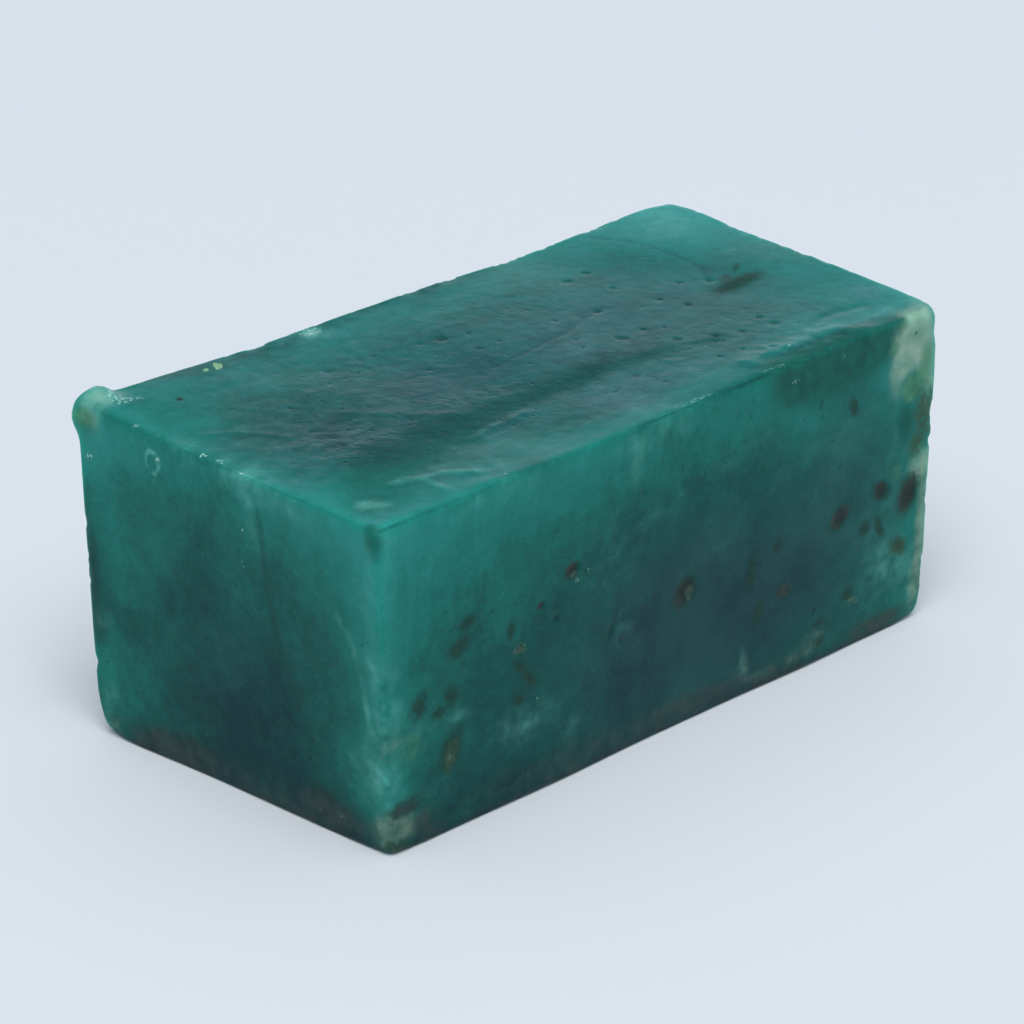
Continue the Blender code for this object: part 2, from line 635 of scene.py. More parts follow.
@dataclass(frozen=True)
class StoneRelief:
    """All of the stone's relief finer than its saw waves, as a height along the surface's normal."""

    # The top's slow swells and its tight wrinkles, which fade to a small share towards its right.
    swell: Noise = Noise(6.5 * MM, 2, 41, 0.05 * MM)
    wrinkle: Noise = Noise(1.7 * MM, 3, 44, 0.03 * MM)
    wrinkle_squeeze: Point = (0.75, 1.2, 1.0)
    wrinkle_fade: tuple[float, float] = (14.0 * MM, -6.0 * MM)
    least_wrinkle: float = 0.3
    # The sides' shallow unevenness, the grain of the schist skin, and what makes outlines uneven.
    unevenness: Noise = Noise(3.2 * MM, 3, 46, 0.03 * MM)
    crust_grain: Noise = Noise(1.3 * MM, 3, 101, 0.16 * MM)
    outlines: Noise = Noise(0.9 * MM, 2, 42)
    # Chips out of the edges, as deep as they get where the noise passes chip_full.
    chip: Noise = Noise(1.1 * MM, 2, 49)
    chip_full: float = 0.75
    chip_depth: float = 0.16 * MM
    chip_reach: float = 0.6 * MM
    # The underside is every point whose normal leans down by more than this.
    underside: Noise = Noise(2.4 * MM, 3, 131)
    underside_depth: float = 0.06 * MM
    underside_lean: float = -0.5
    # Small pits at random places on the sides: their radii and depths in millimetres.
    side_pits: int = 24
    side_pit_margin: float = 2.0
    side_pit_radii: tuple[float, float] = (0.25, 0.5)
    side_pit_depths: tuple[float, float] = (0.03, 0.08)
    seed: int = 41

    # Edges that are more deeply chipped than the rest.
    rough_edges: tuple[Zone, ...] = (
        *Zone.on(Side.LEFT, (17.0, 13.0, 2.0, 13.0, 0.4)),
        *Zone.on(
            Side.TOP,
            (-8.0, 17.0, 34.0, 2.0, 0.3), (19.0, 17.0, 6.0, 2.0, 0.8), (34.0, 4.0, 2.0, 12.0, 0.2),
            (6.0, -17.0, 14.0, 2.0, 0.5),
        ),
        *Zone.on(Side.RIGHT, (-17.0, 16.0, 2.0, 12.0, 1.0)),
    )
    # The top's larger pits, then the ones in the sides.
    pits: tuple[Pit, ...] = (
        *Pit.on(
            Side.TOP,
            (-28.3, 12.2, 0.4, 0.12), (-3.9, 7.4, 0.86, 0.11), (-1.5, 6.6, 0.43, 0.08),
            (-5.8, 8.0, 0.43, 0.09), (-15.1, 9.0, 0.58, 0.11), (-11.6, 9.0, 0.36, 0.09),
            (-16.9, 6.9, 0.36, 0.08), (-13.5, 7.2, 0.36, 0.08), (-22.9, 5.0, 0.43, 0.08),
            (-18.1, 0.9, 0.4, 0.09), (-21.2, -0.2, 0.32, 0.08), (-24.9, 0.1, 0.4, 0.09),
            (-14.2, 0.5, 0.36, -0.06), (-9.0, 3.4, 0.36, 0.08), (-0.8, 3.6, 0.43, 0.08),
            (-3.0, 3.6, 0.5, 0.08), (6.0, 7.0, 0.36, 0.08), (5.9, 3.6, 0.4, 0.09),
            (10.3, 2.8, 0.58, 0.11), (-2.4, -1.6, 0.36, 0.08), (4.1, -0.6, 0.36, 0.08),
            (3.1, -2.3, 0.43, 0.08), (7.0, -3.1, 0.86, 0.08), (9.8, -2.9, 0.43, 0.08),
            (11.5, -3.7, 0.36, 0.08), (16.9, -1.5, 0.5, 0.11), (20.5, 2.8, 0.5, 0.09),
            (22.7, 1.3, 0.5, 0.11), (10.1, -6.5, 0.58, 0.08), (12.9, -8.3, 0.58, 0.09),
            (12.0, -9.2, 0.58, 0.09), (15.2, -9.3, 0.5, 0.12), (18.5, -9.8, 0.72, 0.12),
            (18.8, -8.0, 0.5, 0.09), (1.7, -9.7, 0.43, 0.09), (-1.8, -10.7, 0.5, 0.09),
            (2.3, -12.4, 0.43, 0.09), (9.3, -12.0, 0.43, 0.09), (12.0, -12.2, 0.43, 0.09),
            (14.0, -13.7, 0.5, 0.14), (15.2, 5.8, 0.5, 0.08), (13.5, 9.6, 0.72, 0.08),
            (16.2, 10.0, 0.58, 0.08), (16.2, 1.1, 0.43, 0.08), (-31.8, -14.3, 1.6, -0.16),
        ),
        *Pit.on(
            Side.NEAR,
            (0.2, 12.3, 1.5, 0.24), (-13.3, 18.5, 1.0, 0.25), (-11.6, 18.3, 0.5, 0.15),
            (-16.8, 16.8, 0.5, 0.15), (-15.2, 15.1, 0.5, 0.12), (-19.1, 13.9, 0.7, 0.14),
            (-8.6, 11.6, 0.8, 0.12), (-7.2, 12.4, 0.5, 0.10), (-7.4, 10.5, 0.6, 0.10),
            (28.2, 12.4, 1.4, 0.14), (24.6, 13.8, 1.1, 0.12), (19.1, 13.0, 1.2, 0.10),
        ),
    )
    seams: tuple[Seam, ...] = (
        Seam(Side.TOP, ((-5.0, 0.0), (-1.0, 0.3), (4.5, 1.1), (10.3, 3.0)), 0.28, -0.05),
        Seam(Side.TOP, ((22.6, 15.8), (24.6, 12.0), (25.0, 8.0), (24.6, 4.0), (22.6, 1.3)), 0.3, -0.03),
        Seam(Side.TOP, ((21.5, -12.2), (24.0, -11.7), (27.0, -12.4)), 0.5, -0.08),
        Seam(Side.TOP, ((-31.7, 5.3), (-29.3, 3.8), (-27.8, 1.8), (-27.0, 0.4)), 0.35, 0.06),
        Seam(Side.TOP, ((-20.5, 1.3), (-17.5, -2.0), (-15.2, -4.3), (-13.5, -5.4)), 0.45, 0.08),
        Seam(Side.TOP, ((-17.4, -9.6), (-14.5, -9.1), (-10.0, -8.6)), 0.4, 0.08),
        Seam(Side.TOP, ((-27.8, -12.0), (-25.7, -13.0), (-23.6, -13.3), (-21.5, -15.0)), 0.4, 0.10),
        Seam(Side.TOP, ((-25.4, -13.3), (-25.7, -15.9)), 0.3, 0.08),
        Seam(Side.TOP, ((10.0, -14.5), (17.0, -14.4), (20.3, -14.2), (22.8, -16.2)), 0.9, 0.20),
        Seam(Side.TOP, ((14.4, -14.9), (14.9, -14.5)), 0.45, 0.14),
        Seam(Side.LEFT, ((-2.9, 27.4), (-4.2, 19.5), (-6.3, 14.0)), 0.25, -0.03),
        Seam(Side.LEFT, RING, 0.22, 0.06),
    )

    def height(self, surface: Surface, crust: np.ndarray) -> np.ndarray:
        """Adds up the relief.

        Args:
            surface: the stone's surface before its relief.
            crust: where the stone keeps its rough schist skin.

        Returns:
            The height at each point. On the underside it is never above 0, so the stone rests flat.
        """
        places, top = surface.places, surface.facing(Side.TOP)
        height = top * self.top_height(places) + (1.0 - top) * self.unevenness.at(places)
        height -= self.chips(surface)
        ragged = self.outlines.at(places)
        for mark in (*self.all_pits(), *self.seams):
            height += mark.rise_here(surface, ragged)
        height += crust * self.crust_grain.at(places)
        worn = -self.underside_depth * (0.5 + 0.5 * self.underside.at(places))
        resting = surface.normals[:, 2] < self.underside_lean
        return np.where(resting, np.minimum(surface.facing(Side.UNDERSIDE) * worn, 0.0), height)

    def pit_nearness(self, surface: Surface) -> np.ndarray:
        """The nearness of the nearest pit to each point."""
        ragged = self.outlines.at(surface.places)
        return np.max([pit.nearness(surface, ragged) for pit in self.all_pits()], axis=0)

    def top_height(self, places: np.ndarray) -> np.ndarray:
        """The top's height: its swells, and wrinkles that are strongest on its left half.

        Args:
            places: places on the stone.

        Returns:
            The height at each place.
        """
        left = smooth_step(places[:, 0], *self.wrinkle_fade)
        share = self.least_wrinkle + (1.0 - self.least_wrinkle) * left
        return self.swell.at(places) + share * self.wrinkle.at(places * self.wrinkle_squeeze)

    def chips(self, surface: Surface) -> np.ndarray:
        """Chips out of the edges: cut in where a noise is above 0, and fading away from the edge.

        Args:
            surface: the stone's surface.

        Returns:
            The depth at each point.
        """
        bitten = smooth_step(self.chip.at(surface.places), 0.0, self.chip_full)
        deeper = 1.0 + summed(surface, self.rough_edges)
        return self.chip_depth * deeper * bitten * bell(surface.edge_gap() * MM, self.chip_reach)

    def all_pits(self) -> list[Pit]:
        """Adds small pits at random places on the four sides to the placed ones.

        Returns:
            All of the pits.
        """
        draw = np.random.default_rng(self.seed)
        pits = list(self.pits)
        for _ in range(self.side_pits):
            place = scattered(draw, self.side_pit_margin)
            radius = draw.uniform(*self.side_pit_radii)
            pits.append(Pit(*place, radius, draw.uniform(*self.side_pit_depths)))
        return pits


# ---------------------------------------------------------------------------------------------------
# What colours the stone, with its painted light and shade
# ---------------------------------------------------------------------------------------------------


@dataclass(frozen=True)
class StoneDepths:
    """All that colours the stone, painted light and shade too, worked out at each point of its surface.

    Reaches and widths are in millimetres.
    """

    # For each side: how strongly the painted light from its edges brightens the stone, and how far it
    # reaches.
    edge_light: tuple[tuple[Side, float, float], ...] = (
        (Side.TOP, 0.72, 6.5),
        (Side.LEFT, 0.62, 4.2),
        (Side.RIGHT, 0.50, 8.0),
        (Side.NEAR, 0.62, 4.5),
        (Side.FAR, 0.45, 7.0),
    )
    # The painted glow in the stone's core, painted extra light on its top, and the most glow there may be.
    core_light: float = 0.12
    top_light: float = 0.14
    brightest: float = 1.3
    # Painted shade along every edge: how dark it is, and its width in millimetres.
    painted_edge_shade: float = 0.40
    edge_width: float = 0.65
    # Bruises and painted shade on the top's edges: how strong, how much a noise moves that, and two widths.
    edge_dark_noise: Noise = Noise(3.0 * MM, 2, 18)
    edge_dark_strength: float = 0.78
    edge_dark_swing: float = 0.6
    arris_width: float = 0.34
    arris_drop: float = 1.5
    # The schist skin on the far side: between which heights there comes to be more, and its outline.
    patches: Noise = Noise(6.0 * MM, 3, 10)
    crust_heights: tuple[float, float] = (12.0, 28.0)
    crust_gain: float = 0.5
    crust_outline: tuple[float, float] = (0.25, 0.55)
    crust_dirt: float = 0.9
    crust_mica: float = 0.7
    # The dirt just above the floor, and the painted shade where the stone touches it.
    floor_dirt: float = 0.35
    floor_dirt_reach: float = 1.5
    contact_reach: float = 0.7
    # How far from the edges the sheen begins, and how wrinkled the top is everywhere.
    dry_edge: float = 0.8
    top_wrinkling: float = 0.2
    seed: int = 7

    # Zones that raise or lower the painted glow: the stone's own lighter and darker clouds, and painted
    # shade on the top near its edges.
    tones: tuple[Zone, ...] = (
        *Zone.on(
            Side.LEFT,
            (4.0, 17.0, 2.5, 6.0, -0.12), (8.0, 24.5, 5.0, 4.0, -0.08), (0.5, 25.0, 3.0, 3.0, -0.10),
            (-5.0, 16.0, 3.0, 5.0, -0.07), (-1.0, 5.5, 7.0, 5.0, -0.18), (-8.0, 6.0, 3.0, 5.0, -0.08),
            (-13.4, 7.5, 2.4, 4.0, 0.08), (-12.5, 23.5, 3.0, 3.5, -0.10), (12.0, 11.0, 2.5, 2.5, -0.08),
            (15.5, 6.0, 1.6, 3.0, 0.12), (16.6, 14.0, 1.3, 9.0, -0.30), (16.2, 13.0, 2.2, 6.0, -0.26),
            (-9.0, 1.5, 8.0, 1.8, -0.30), (7.0, 1.0, 6.0, 1.4, -0.14), (9.0, 28.4, 6.0, 1.2, -0.14),
        ),
        *Zone.on(
            Side.NEAR,
            (-1.0, 13.0, 7.0, 5.0, -0.09), (11.0, 9.5, 7.0, 4.0, -0.12), (-5.0, 7.0, 5.0, 4.0, -0.05),
            (-25.0, 20.0, 9.0, 8.0, 0.14), (-27.0, 11.0, 4.0, 3.0, 0.12), (-17.0, 26.0, 5.0, 3.0, 0.10),
            (-1.0, 26.5, 5.0, 2.5, -0.08), (22.0, 25.0, 4.0, 3.0, -0.09), (15.0, 25.0, 3.5, 1.8, 0.10),
            (20.5, 14.0, 4.0, 7.0, 0.02), (-32.5, 20.0, 2.0, 5.0, -0.08), (25.0, 7.5, 4.0, 4.0, 0.10),
            (-29.5, 1.2, 5.0, 1.8, -0.20),
        ),
        *Zone.on(
            Side.TOP,
            (-27.0, 0.0, 6.0, 7.0, -0.21), (-22.0, -7.5, 6.0, 3.0, -0.20), (-7.0, -6.8, 9.0, 2.2, -0.18),
            (4.6, -5.5, 5.0, 2.4, -0.20), (20.0, -4.0, 5.0, 3.5, -0.12), (23.6, -1.2, 3.4, 1.2, -0.30),
            (-33.0, 12.0, 2.5, 4.0, -0.14), (-32.0, -14.5, 4.0, 3.5, -0.22),
            (15.0, -10.5, 6.0, 4.0, -0.08), (-3.0, -12.5, 8.0, 2.5, -0.13),
            (-25.5, -12.5, 4.5, 3.0, -0.07), (-12.0, 1.0, 8.0, 5.0, -0.13),
            (-20.0, 15.6, 10.0, 1.4, -0.16), (-18.0, -16.6, 5.0, 1.3, -0.26),
            (8.0, -16.6, 6.0, 1.3, -0.28), (6.0, 8.5, 12.0, 1.0, -0.05), (18.0, 9.0, 6.0, 2.0, -0.08),
            (27.0, 3.0, 3.0, 3.0, -0.07), (-9.6, -14.0, 3.0, 1.6, -0.10), (-10.0, 14.5, 3.0, 2.0, 0.12),
            (-18.4, 6.0, 5.0, 3.0, -0.07), (-8.2, -3.7, 2.5, 1.8, -0.06), (-1.0, 17.0, 14.0, 1.3, -0.38),
            (-24.0, 17.0, 8.0, 1.3, -0.38), (-4.0, -17.2, 5.0, 0.9, -0.16), (27.0, 9.0, 4.0, 6.0, 0.12),
            (30.0, 13.0, 5.0, 5.0, 0.28), (-34.5, 16.0, 2.0, 2.0, -0.25), (29.5, -16.8, 3.0, 1.6, -0.30),
        ),
    )
    # A smoky grey tinge.
    smoke: tuple[Zone, ...] = (
        *Zone.on(Side.NEAR, (3.0, 9.0, 16.0, 11.0, 1.0), (22.0, 15.0, 7.0, 10.0, 0.6)),
        *Zone.on(Side.TOP, (10.0, 1.0, 16.0, 8.0, 0.50), (-14.0, -1.0, 14.0, 6.0, 0.35)),
        *Zone.on(Side.LEFT, (0.0, 12.0, 5.0, 6.0, 0.4)),
        *Zone.on(Side.RIGHT, (2.0, 12.0, 8.0, 8.0, 0.8)),
        *Zone.on(Side.FAR, (-5.0, 12.0, 16.0, 9.0, 0.8)),
    )
    milk_and_painted_highlight: tuple[Zone, ...] = (
        *Zone.on(
            Side.NEAR,
            (-33.0, 12.3, 2.0, 1.7, 0.42), (-33.0, 16.0, 1.6, 2.6, 0.20), (-33.4, 7.6, 1.8, 2.0, 0.38),
            (-33.6, 4.9, 2.0, 1.0, 0.34), (-33.4, 16.8, 1.3, 0.7, 0.22), (-31.4, 6.4, 2.0, 1.4, 0.10),
            (-28.8, 10.5, 2.5, 1.0, 0.22), (-34.0, 22.0, 1.0, 5.0, 0.22), (-22.0, 28.2, 6.0, 1.2, 0.35),
            (-3.0, 27.5, 6.0, 1.6, 0.34), (-6.2, 25.2, 1.0, 2.4, 0.34), (-18.3, 7.0, 3.6, 1.9, 0.50),
            (-25.8, 10.2, 1.6, 1.0, 0.35), (-7.0, 11.2, 1.6, 1.8, 0.28), (4.4, 15.0, 1.3, 0.9, 0.22),
            (-13.0, 4.5, 1.4, 1.5, 0.30), (-27.0, 4.5, 3.0, 1.4, 0.20), (26.0, 6.0, 3.0, 2.4, 0.48),
            (25.0, 11.0, 4.0, 6.0, 0.20), (28.8, 3.6, 1.4, 2.6, 0.45),
        ),
        *Zone.on(
            Side.LEFT,
            (-3.0, 28.0, 2.8, 1.5, 0.42), (-3.2, 25.0, 0.9, 2.4, 0.30), (-8.8, 27.3, 2.6, 1.8, 0.34),
            (-14.0, 24.0, 3.0, 3.0, 0.06), (-16.2, 22.5, 1.6, 3.4, 0.10), (-15.8, 17.0, 1.3, 3.0, 0.22),
            (-16.0, 11.8, 1.3, 2.6, 0.12), (-15.0, 7.8, 2.2, 1.8, 0.34), (-13.6, 6.5, 2.6, 3.4, 0.10),
            (-15.2, 4.8, 2.0, 1.6, 0.20), (10.0, 9.3, 2.4, 0.7, 0.20), (15.4, 10.6, 1.4, 1.6, 0.35),
            (14.8, 3.6, 1.4, 1.6, 0.50),
        ),
        # On the top: at its near left corner, a painted highlight on a low bump.
        *Zone.on(
            Side.TOP,
            (-33.8, -2.5, 1.5, 4.0, 0.45), (-34.0, 4.5, 1.2, 3.0, 0.35), (-31.7, -14.1, 1.2, 1.2, 1.35),
            (-19.0, -15.0, 2.4, 1.0, 0.35), (-2.0, -15.0, 4.5, 1.4, 0.38), (27.0, -14.6, 3.5, 1.0, 0.40),
            (29.5, 12.5, 4.0, 3.6, 0.60), (-10.8, 15.8, 1.6, 1.2, 1.30), (-34.0, 15.6, 1.7, 1.5, 1.50),
        ),
        *Zone.on(Side.RIGHT, (8.0, 22.0, 5.0, 3.0, 0.35), (-6.0, 9.0, 3.0, 5.0, 0.30)),
        *Zone.on(Side.FAR, (20.0, 24.0, 7.0, 2.5, 0.40), (-8.0, 10.0, 5.0, 3.0, 0.30)),
    )
    veins: tuple[Line, ...] = (
        Line(Side.LEFT, ((-12.6, 20.3), (-14.1, 17.9), (-15.0, 13.8), (-15.3, 11.0)), 0.5, 0.8),
        Line(Side.LEFT, ((-15.4, 10.4), (-14.0, 9.0), (-12.6, 7.6), (-12.3, 5.0)), 0.7, 0.45),
        Line(Side.NEAR, ((-34.2, 13.5), (-32.8, 13.9), (-31.8, 13.6)), 0.6, 0.70),
        Line(Side.NEAR, ((-10.0, 17.6), (-5.0, 20.0), (3.0, 22.3), (10.0, 23.5)), 1.3, 0.48),
        Line(Side.NEAR, ((7.2, 4.2), (7.5, 2.6), (8.3, 1.6), (10.5, 1.4)), 0.7, 0.6),
        Line(Side.LEFT, RING, 0.17, 1.45),
        Line(Side.TOP, ((-27.8, -12.0), (-25.7, -13.0), (-23.6, -13.3), (-21.5, -15.0)), 0.7, 0.7),
        Line(Side.TOP, ((-25.4, -13.3), (-25.7, -15.9)), 0.6, 0.7),
    )
    cracks_and_edge_shade: tuple[Line, ...] = (
        Line(Side.LEFT, ((-4.2, 26.0), (-4.6, 20.0), (-5.4, 15.0), (-7.2, 10.5)), 0.6, 0.95),
        Line(Side.TOP, ((-5.0, 0.0), (-1.0, 0.3), (4.5, 1.1), (10.3, 3.0)), 0.4, 0.95),
        Line(Side.TOP, ((22.6, 15.8), (24.6, 12.0), (25.0, 8.0), (24.6, 4.0), (22.6, 1.3)), 0.35, 0.9),
        # Along the top's near edge: partly a dark crack line, partly painted shade.
        Line(
            Side.TOP, ((-6.0, -17.4), (1.0, -17.5), (9.0, -17.3), (17.0, -17.4), (27.0, -17.3)), 0.5, 0.90
        ),
    )
    cream: tuple[Zone, ...] = (
        *Zone.on(
            Side.NEAR,
            (28.4, 27.0, 2.0, 2.0, 1.35), (26.2, 23.8, 1.1, 2.6, 0.48), (28.3, 24.9, 1.6, 1.3, 0.70),
            (30.4, 22.5, 1.0, 4.0, 0.55), (29.8, 14.6, 1.6, 1.3, 0.95),
        ),
        *Zone.on(Side.TOP, (29.0, -16.4, 2.0, 1.2, 0.30), (-34.0, 15.4, 1.4, 1.3, 0.50)),
        *Zone.on(Side.RIGHT, (-15.0, 25.0, 2.0, 4.0, 0.80)),
        *Zone.on(Side.FAR, (12.0, 3.5, 2.5, 1.2, 0.60)),
    )
    # Greyer, dirtier feldspar.
    bone: tuple[Zone, ...] = (
        *Zone.on(
            Side.NEAR,
            (-31.9, 2.1, 2.2, 1.5, 1.15), (30.5, 10.5, 0.9, 4.5, 1.05), (29.6, 3.2, 1.1, 2.4, 0.80),
            (30.2, 7.0, 0.7, 3.5, 0.75), (7.6, 2.6, 1.0, 1.5, 0.45), (-32.8, 9.9, 1.5, 1.8, 0.60),
            (17.2, 3.0, 0.9, 0.7, 0.40), (11.5, 1.4, 4.0, 0.5, 0.50), (15.5, 2.3, 2.0, 1.3, 0.30),
        ),
        *Zone.on(Side.LEFT, (-16.8, 2.3, 1.3, 1.3, 0.80), (14.4, 1.5, 1.2, 0.9, 0.80)),
        *Zone.on(Side.RIGHT, (-15.5, 12.0, 1.2, 5.0, 0.60)),
    )
    olive: tuple[Zone, ...] = (
        *Zone.on(
            Side.NEAR,
            (28.4, 22.2, 1.15, 1.15, 1.50), (25.7, 26.4, 0.8, 0.7, 0.80), (28.4, 27.0, 0.8, 0.5, 0.60),
            (30.2, 24.4, 1.1, 2.2, 0.80), (29.0, 16.8, 1.4, 1.0, 0.70), (-31.3, 9.6, 1.4, 1.8, 0.45),
            (-29.8, 9.0, 1.6, 1.6, 0.30), (26.6, 14.6, 1.0, 0.8, 0.50), (26.2, 17.6, 1.2, 3.0, 0.35),
        ),
        *Zone.on(Side.LEFT, (16.3, 28.0, 1.7, 1.3, 1.05)),
        *Zone.on(Side.RIGHT, (-14.5, 21.0, 1.6, 1.5, 0.90)),
    )
    emerald: tuple[Zone, ...] = (
        *Zone.on(
            Side.NEAR,
            (21.0, 27.6, 5.5, 2.4, 1.40), (13.5, 27.0, 3.5, 2.0, 1.10), (17.5, 24.5, 4.5, 2.2, 0.38),
            (27.6, 19.2, 1.4, 2.4, 0.85), (24.8, 11.4, 1.3, 1.0, 0.60), (-31.8, 22.5, 1.6, 2.8, 0.35),
            (-34.7, 27.8, 1.2, 2.4, 0.62),
        ),
        *Zone.on(
            Side.TOP,
            (19.0, -16.6, 8.5, 1.4, 1.50), (-34.3, -16.8, 0.8, 0.8, 0.50), (-30.6, 13.8, 2.2, 0.7, 0.55),
            (-28.4, 15.6, 1.6, 0.6, 0.45),
        ),
        *Zone.on(Side.LEFT, (11.0, 12.0, 1.8, 1.4, 0.35)),
        *Zone.on(Side.RIGHT, (4.0, 8.0, 3.0, 3.0, 0.60)),
    )
    # Dirt in the sawn faces, and darker strips along the far edges of the end and the top.
    dirt_and_dark_edges: tuple[Zone, ...] = (
        *Zone.on(
            Side.NEAR,
            (-2.0, 1.4, 5.0, 1.5, 0.75), (3.0, 1.6, 3.0, 1.0, 0.60), (10.0, 1.2, 5.0, 0.9, 0.60),
            (24.5, 1.3, 4.5, 1.0, 0.75), (-13.0, 1.8, 5.0, 1.8, 0.60), (-21.0, 2.4, 3.5, 1.6, 0.30),
            (-28.5, 1.6, 2.0, 1.6, 0.60), (-31.3, 4.0, 1.4, 0.5, 1.10), (-29.3, 2.2, 0.9, 1.4, 0.50),
        ),
        *Zone.on(
            Side.LEFT,
            (1.0, 1.2, 9.0, 1.8, 0.55), (-10.5, 1.6, 4.0, 1.8, 0.95), (8.5, 1.2, 3.5, 1.6, 1.00),
            (16.9, 14.5, 0.8, 10.0, 0.38), (16.6, 13.0, 1.3, 5.0, 0.40),
        ),
        *Zone.on(Side.TOP, (-21.0, 16.9, 9.0, 0.7, 0.60), (-2.0, 17.2, 13.0, 0.7, 0.50)),
    )
    # Frosted, crushed crystal, with small painted glints.
    frost_and_painted_glints: tuple[Zone, ...] = (
        *Zone.on(
            Side.TOP,
            (-32.8, 14.8, 1.0, 0.9, 0.92), (-30.8, 14.6, 1.8, 0.9, 0.72), (-10.6, 16.0, 1.4, 0.9, 1.15),
            (14.7, -14.8, 0.5, 0.3, 0.95), (0.5, -16.8, 4.5, 0.5, 0.72), (11.0, -16.9, 3.5, 0.5, 0.68),
            (-20.3, -16.9, 0.5, 0.3, 0.90), (-34.3, 10.2, 0.4, 0.5, 0.90), (-34.3, 7.6, 0.4, 0.4, 0.85),
            (-34.2, 2.3, 0.4, 0.5, 1.00), (-34.0, 0.5, 0.5, 0.8, 0.95), (-34.1, -2.2, 0.4, 0.7, 0.90),
        ),
        *Zone.on(
            Side.LEFT,
            (15.9, 24.8, 0.6, 0.5, 1.10), (-11.3, 1.9, 0.7, 0.5, 0.85), (-8.8, 1.7, 0.4, 0.3, 0.90),
            (7.3, 27.2, 0.35, 0.35, 1.20), (-2.1, 24.1, 0.25, 0.25, 1.20), (-2.0, 21.1, 0.3, 0.25, 1.80),
            (2.9, 20.5, 0.35, 0.2, 0.95),
        ),
        *Zone.on(
            Side.NEAR,
            (17.5, 28.4, 3.0, 0.5, 0.45), (13.0, 27.2, 1.2, 0.5, 0.62), (18.9, 27.6, 0.9, 0.4, 0.62),
            (-12.6, 17.6, 0.45, 0.3, 1.15), (-11.4, 18.0, 0.3, 0.3, 1.20),
            (-16.7, 16.5, 0.25, 0.25, 1.15), (-7.3, 12.1, 0.35, 0.3, 1.00), (-7.2, 10.4, 0.35, 0.3, 0.90),
            (-17.0, 8.7, 0.3, 0.25, 1.10),
        ),
        *Zone.on(Side.RIGHT, (2.0, 28.6, 8.0, 0.5, 0.60)),
    )
    # Where a grey sheen is painted on the top and high on the right end.
    painted_grey_sheen: tuple[Zone, ...] = (
        *Zone.on(
            Side.TOP,
            (-1.0, -11.5, 4.5, 4.0, 0.95), (6.0, -12.5, 4.0, 2.5, 0.55), (1.5, -2.0, 4.0, 2.5, 0.60),
            (-7.5, 12.0, 5.0, 3.5, 0.45), (-12.0, 15.5, 3.0, 1.5, 0.70), (7.0, 2.0, 5.0, 2.5, 0.40),
            (29.5, -10.0, 3.0, 3.0, 0.65), (30.0, 4.0, 3.0, 3.0, 0.45),
        ),
        *Zone.on(Side.RIGHT, (0.0, 27.0, 9.0, 2.0, 0.40)),
    )
    # Where the top's wet-looking sheen is missing.
    dull: tuple[Zone, ...] = (
        *Zone.on(
            Side.TOP,
            (-24.0, -8.7, 4.2, 2.6, 1.0), (-17.5, -7.4, 3.4, 2.4, 0.9), (-9.5, -6.3, 5.0, 1.8, 0.9),
            (-1.0, -6.3, 4.5, 1.9, 0.8), (6.5, -7.3, 4.0, 1.5, 0.7), (12.0, -8.8, 2.5, 1.2, 0.6),
            (-32.0, 10.0, 5.0, 7.0, 0.7), (-31.0, -12.0, 5.0, 4.0, 0.9), (-19.0, 12.0, 9.0, 4.0, 0.3),
            (16.0, -17.0, 8.0, 1.3, 1.0), (23.6, -1.0, 3.2, 1.2, 1.0), (26.4, 1.2, 1.3, 0.8, 0.8),
            (-20.0, -2.0, 8.0, 6.0, 0.25), (-19.3, 4.5, 4.0, 3.0, 0.20), (-9.6, -13.8, 4.0, 1.8, 0.35),
            (24.0, -14.5, 3.5, 2.0, 0.20), (-24.0, 2.0, 9.0, 8.0, 0.26), (-18.5, -14.0, 6.5, 2.6, 0.35),
        ),
    )
    # Where the top is tightly wrinkled and pitted.
    wrinkled: tuple[Zone, ...] = (
        *Zone.on(
            Side.TOP,
            (-25.0, -3.5, 5.0, 4.0, 1.0), (-14.0, -5.0, 9.0, 4.5, 0.7), (-15.0, 6.0, 10.0, 5.0, 0.4),
            (8.0, -9.0, 14.0, 5.0, 0.45), (4.0, 5.0, 16.0, 8.0, 0.25),
        ),
    )
    # Where the saw left upright streaks.
    sawn: tuple[Zone, ...] = (
        *Zone.on(Side.NEAR, (-27.0, 24.0, 9.0, 7.0, 1.0), (-5.0, 27.0, 9.0, 4.0, 0.6)),
    )
    mica: tuple[Fleck, ...] = (
        *Fleck.on(
            Side.NEAR,
            (0.2, 12.1, 1.7, 1.15, 40.0), (19.2, 13.0, 1.5, 0.9, 35.0), (24.6, 13.8, 1.2, 0.75, -30.0),
            (28.2, 12.4, 1.7, 1.1, 65.0), (12.2, 8.4, 1.1, 0.7, -10.0), (-13.4, 18.7, 0.8, 0.6),
            (-16.9, 16.8, 0.35, 0.3),
        ),
        *Fleck.on(
            Side.RIGHT,
            (-15.6, 17.5, 2.2, 1.2, 85.0), (-11.0, 12.5, 1.8, 1.2, 30.0), (-4.5, 19.0, 1.3, 0.8, -40.0),
            (7.0, 6.5, 1.6, 0.9, 15.0),
        ),
        *Fleck.on(
            Side.FAR,
            (22.0, 9.0, 1.6, 1.0, -25.0), (5.0, 19.0, 1.2, 0.7, 40.0), (-20.0, 6.0, 1.5, 0.8, 10.0),
        ),
        *Fleck.on(Side.TOP, (-28.3, 12.2, 0.34, 0.28)),
    )
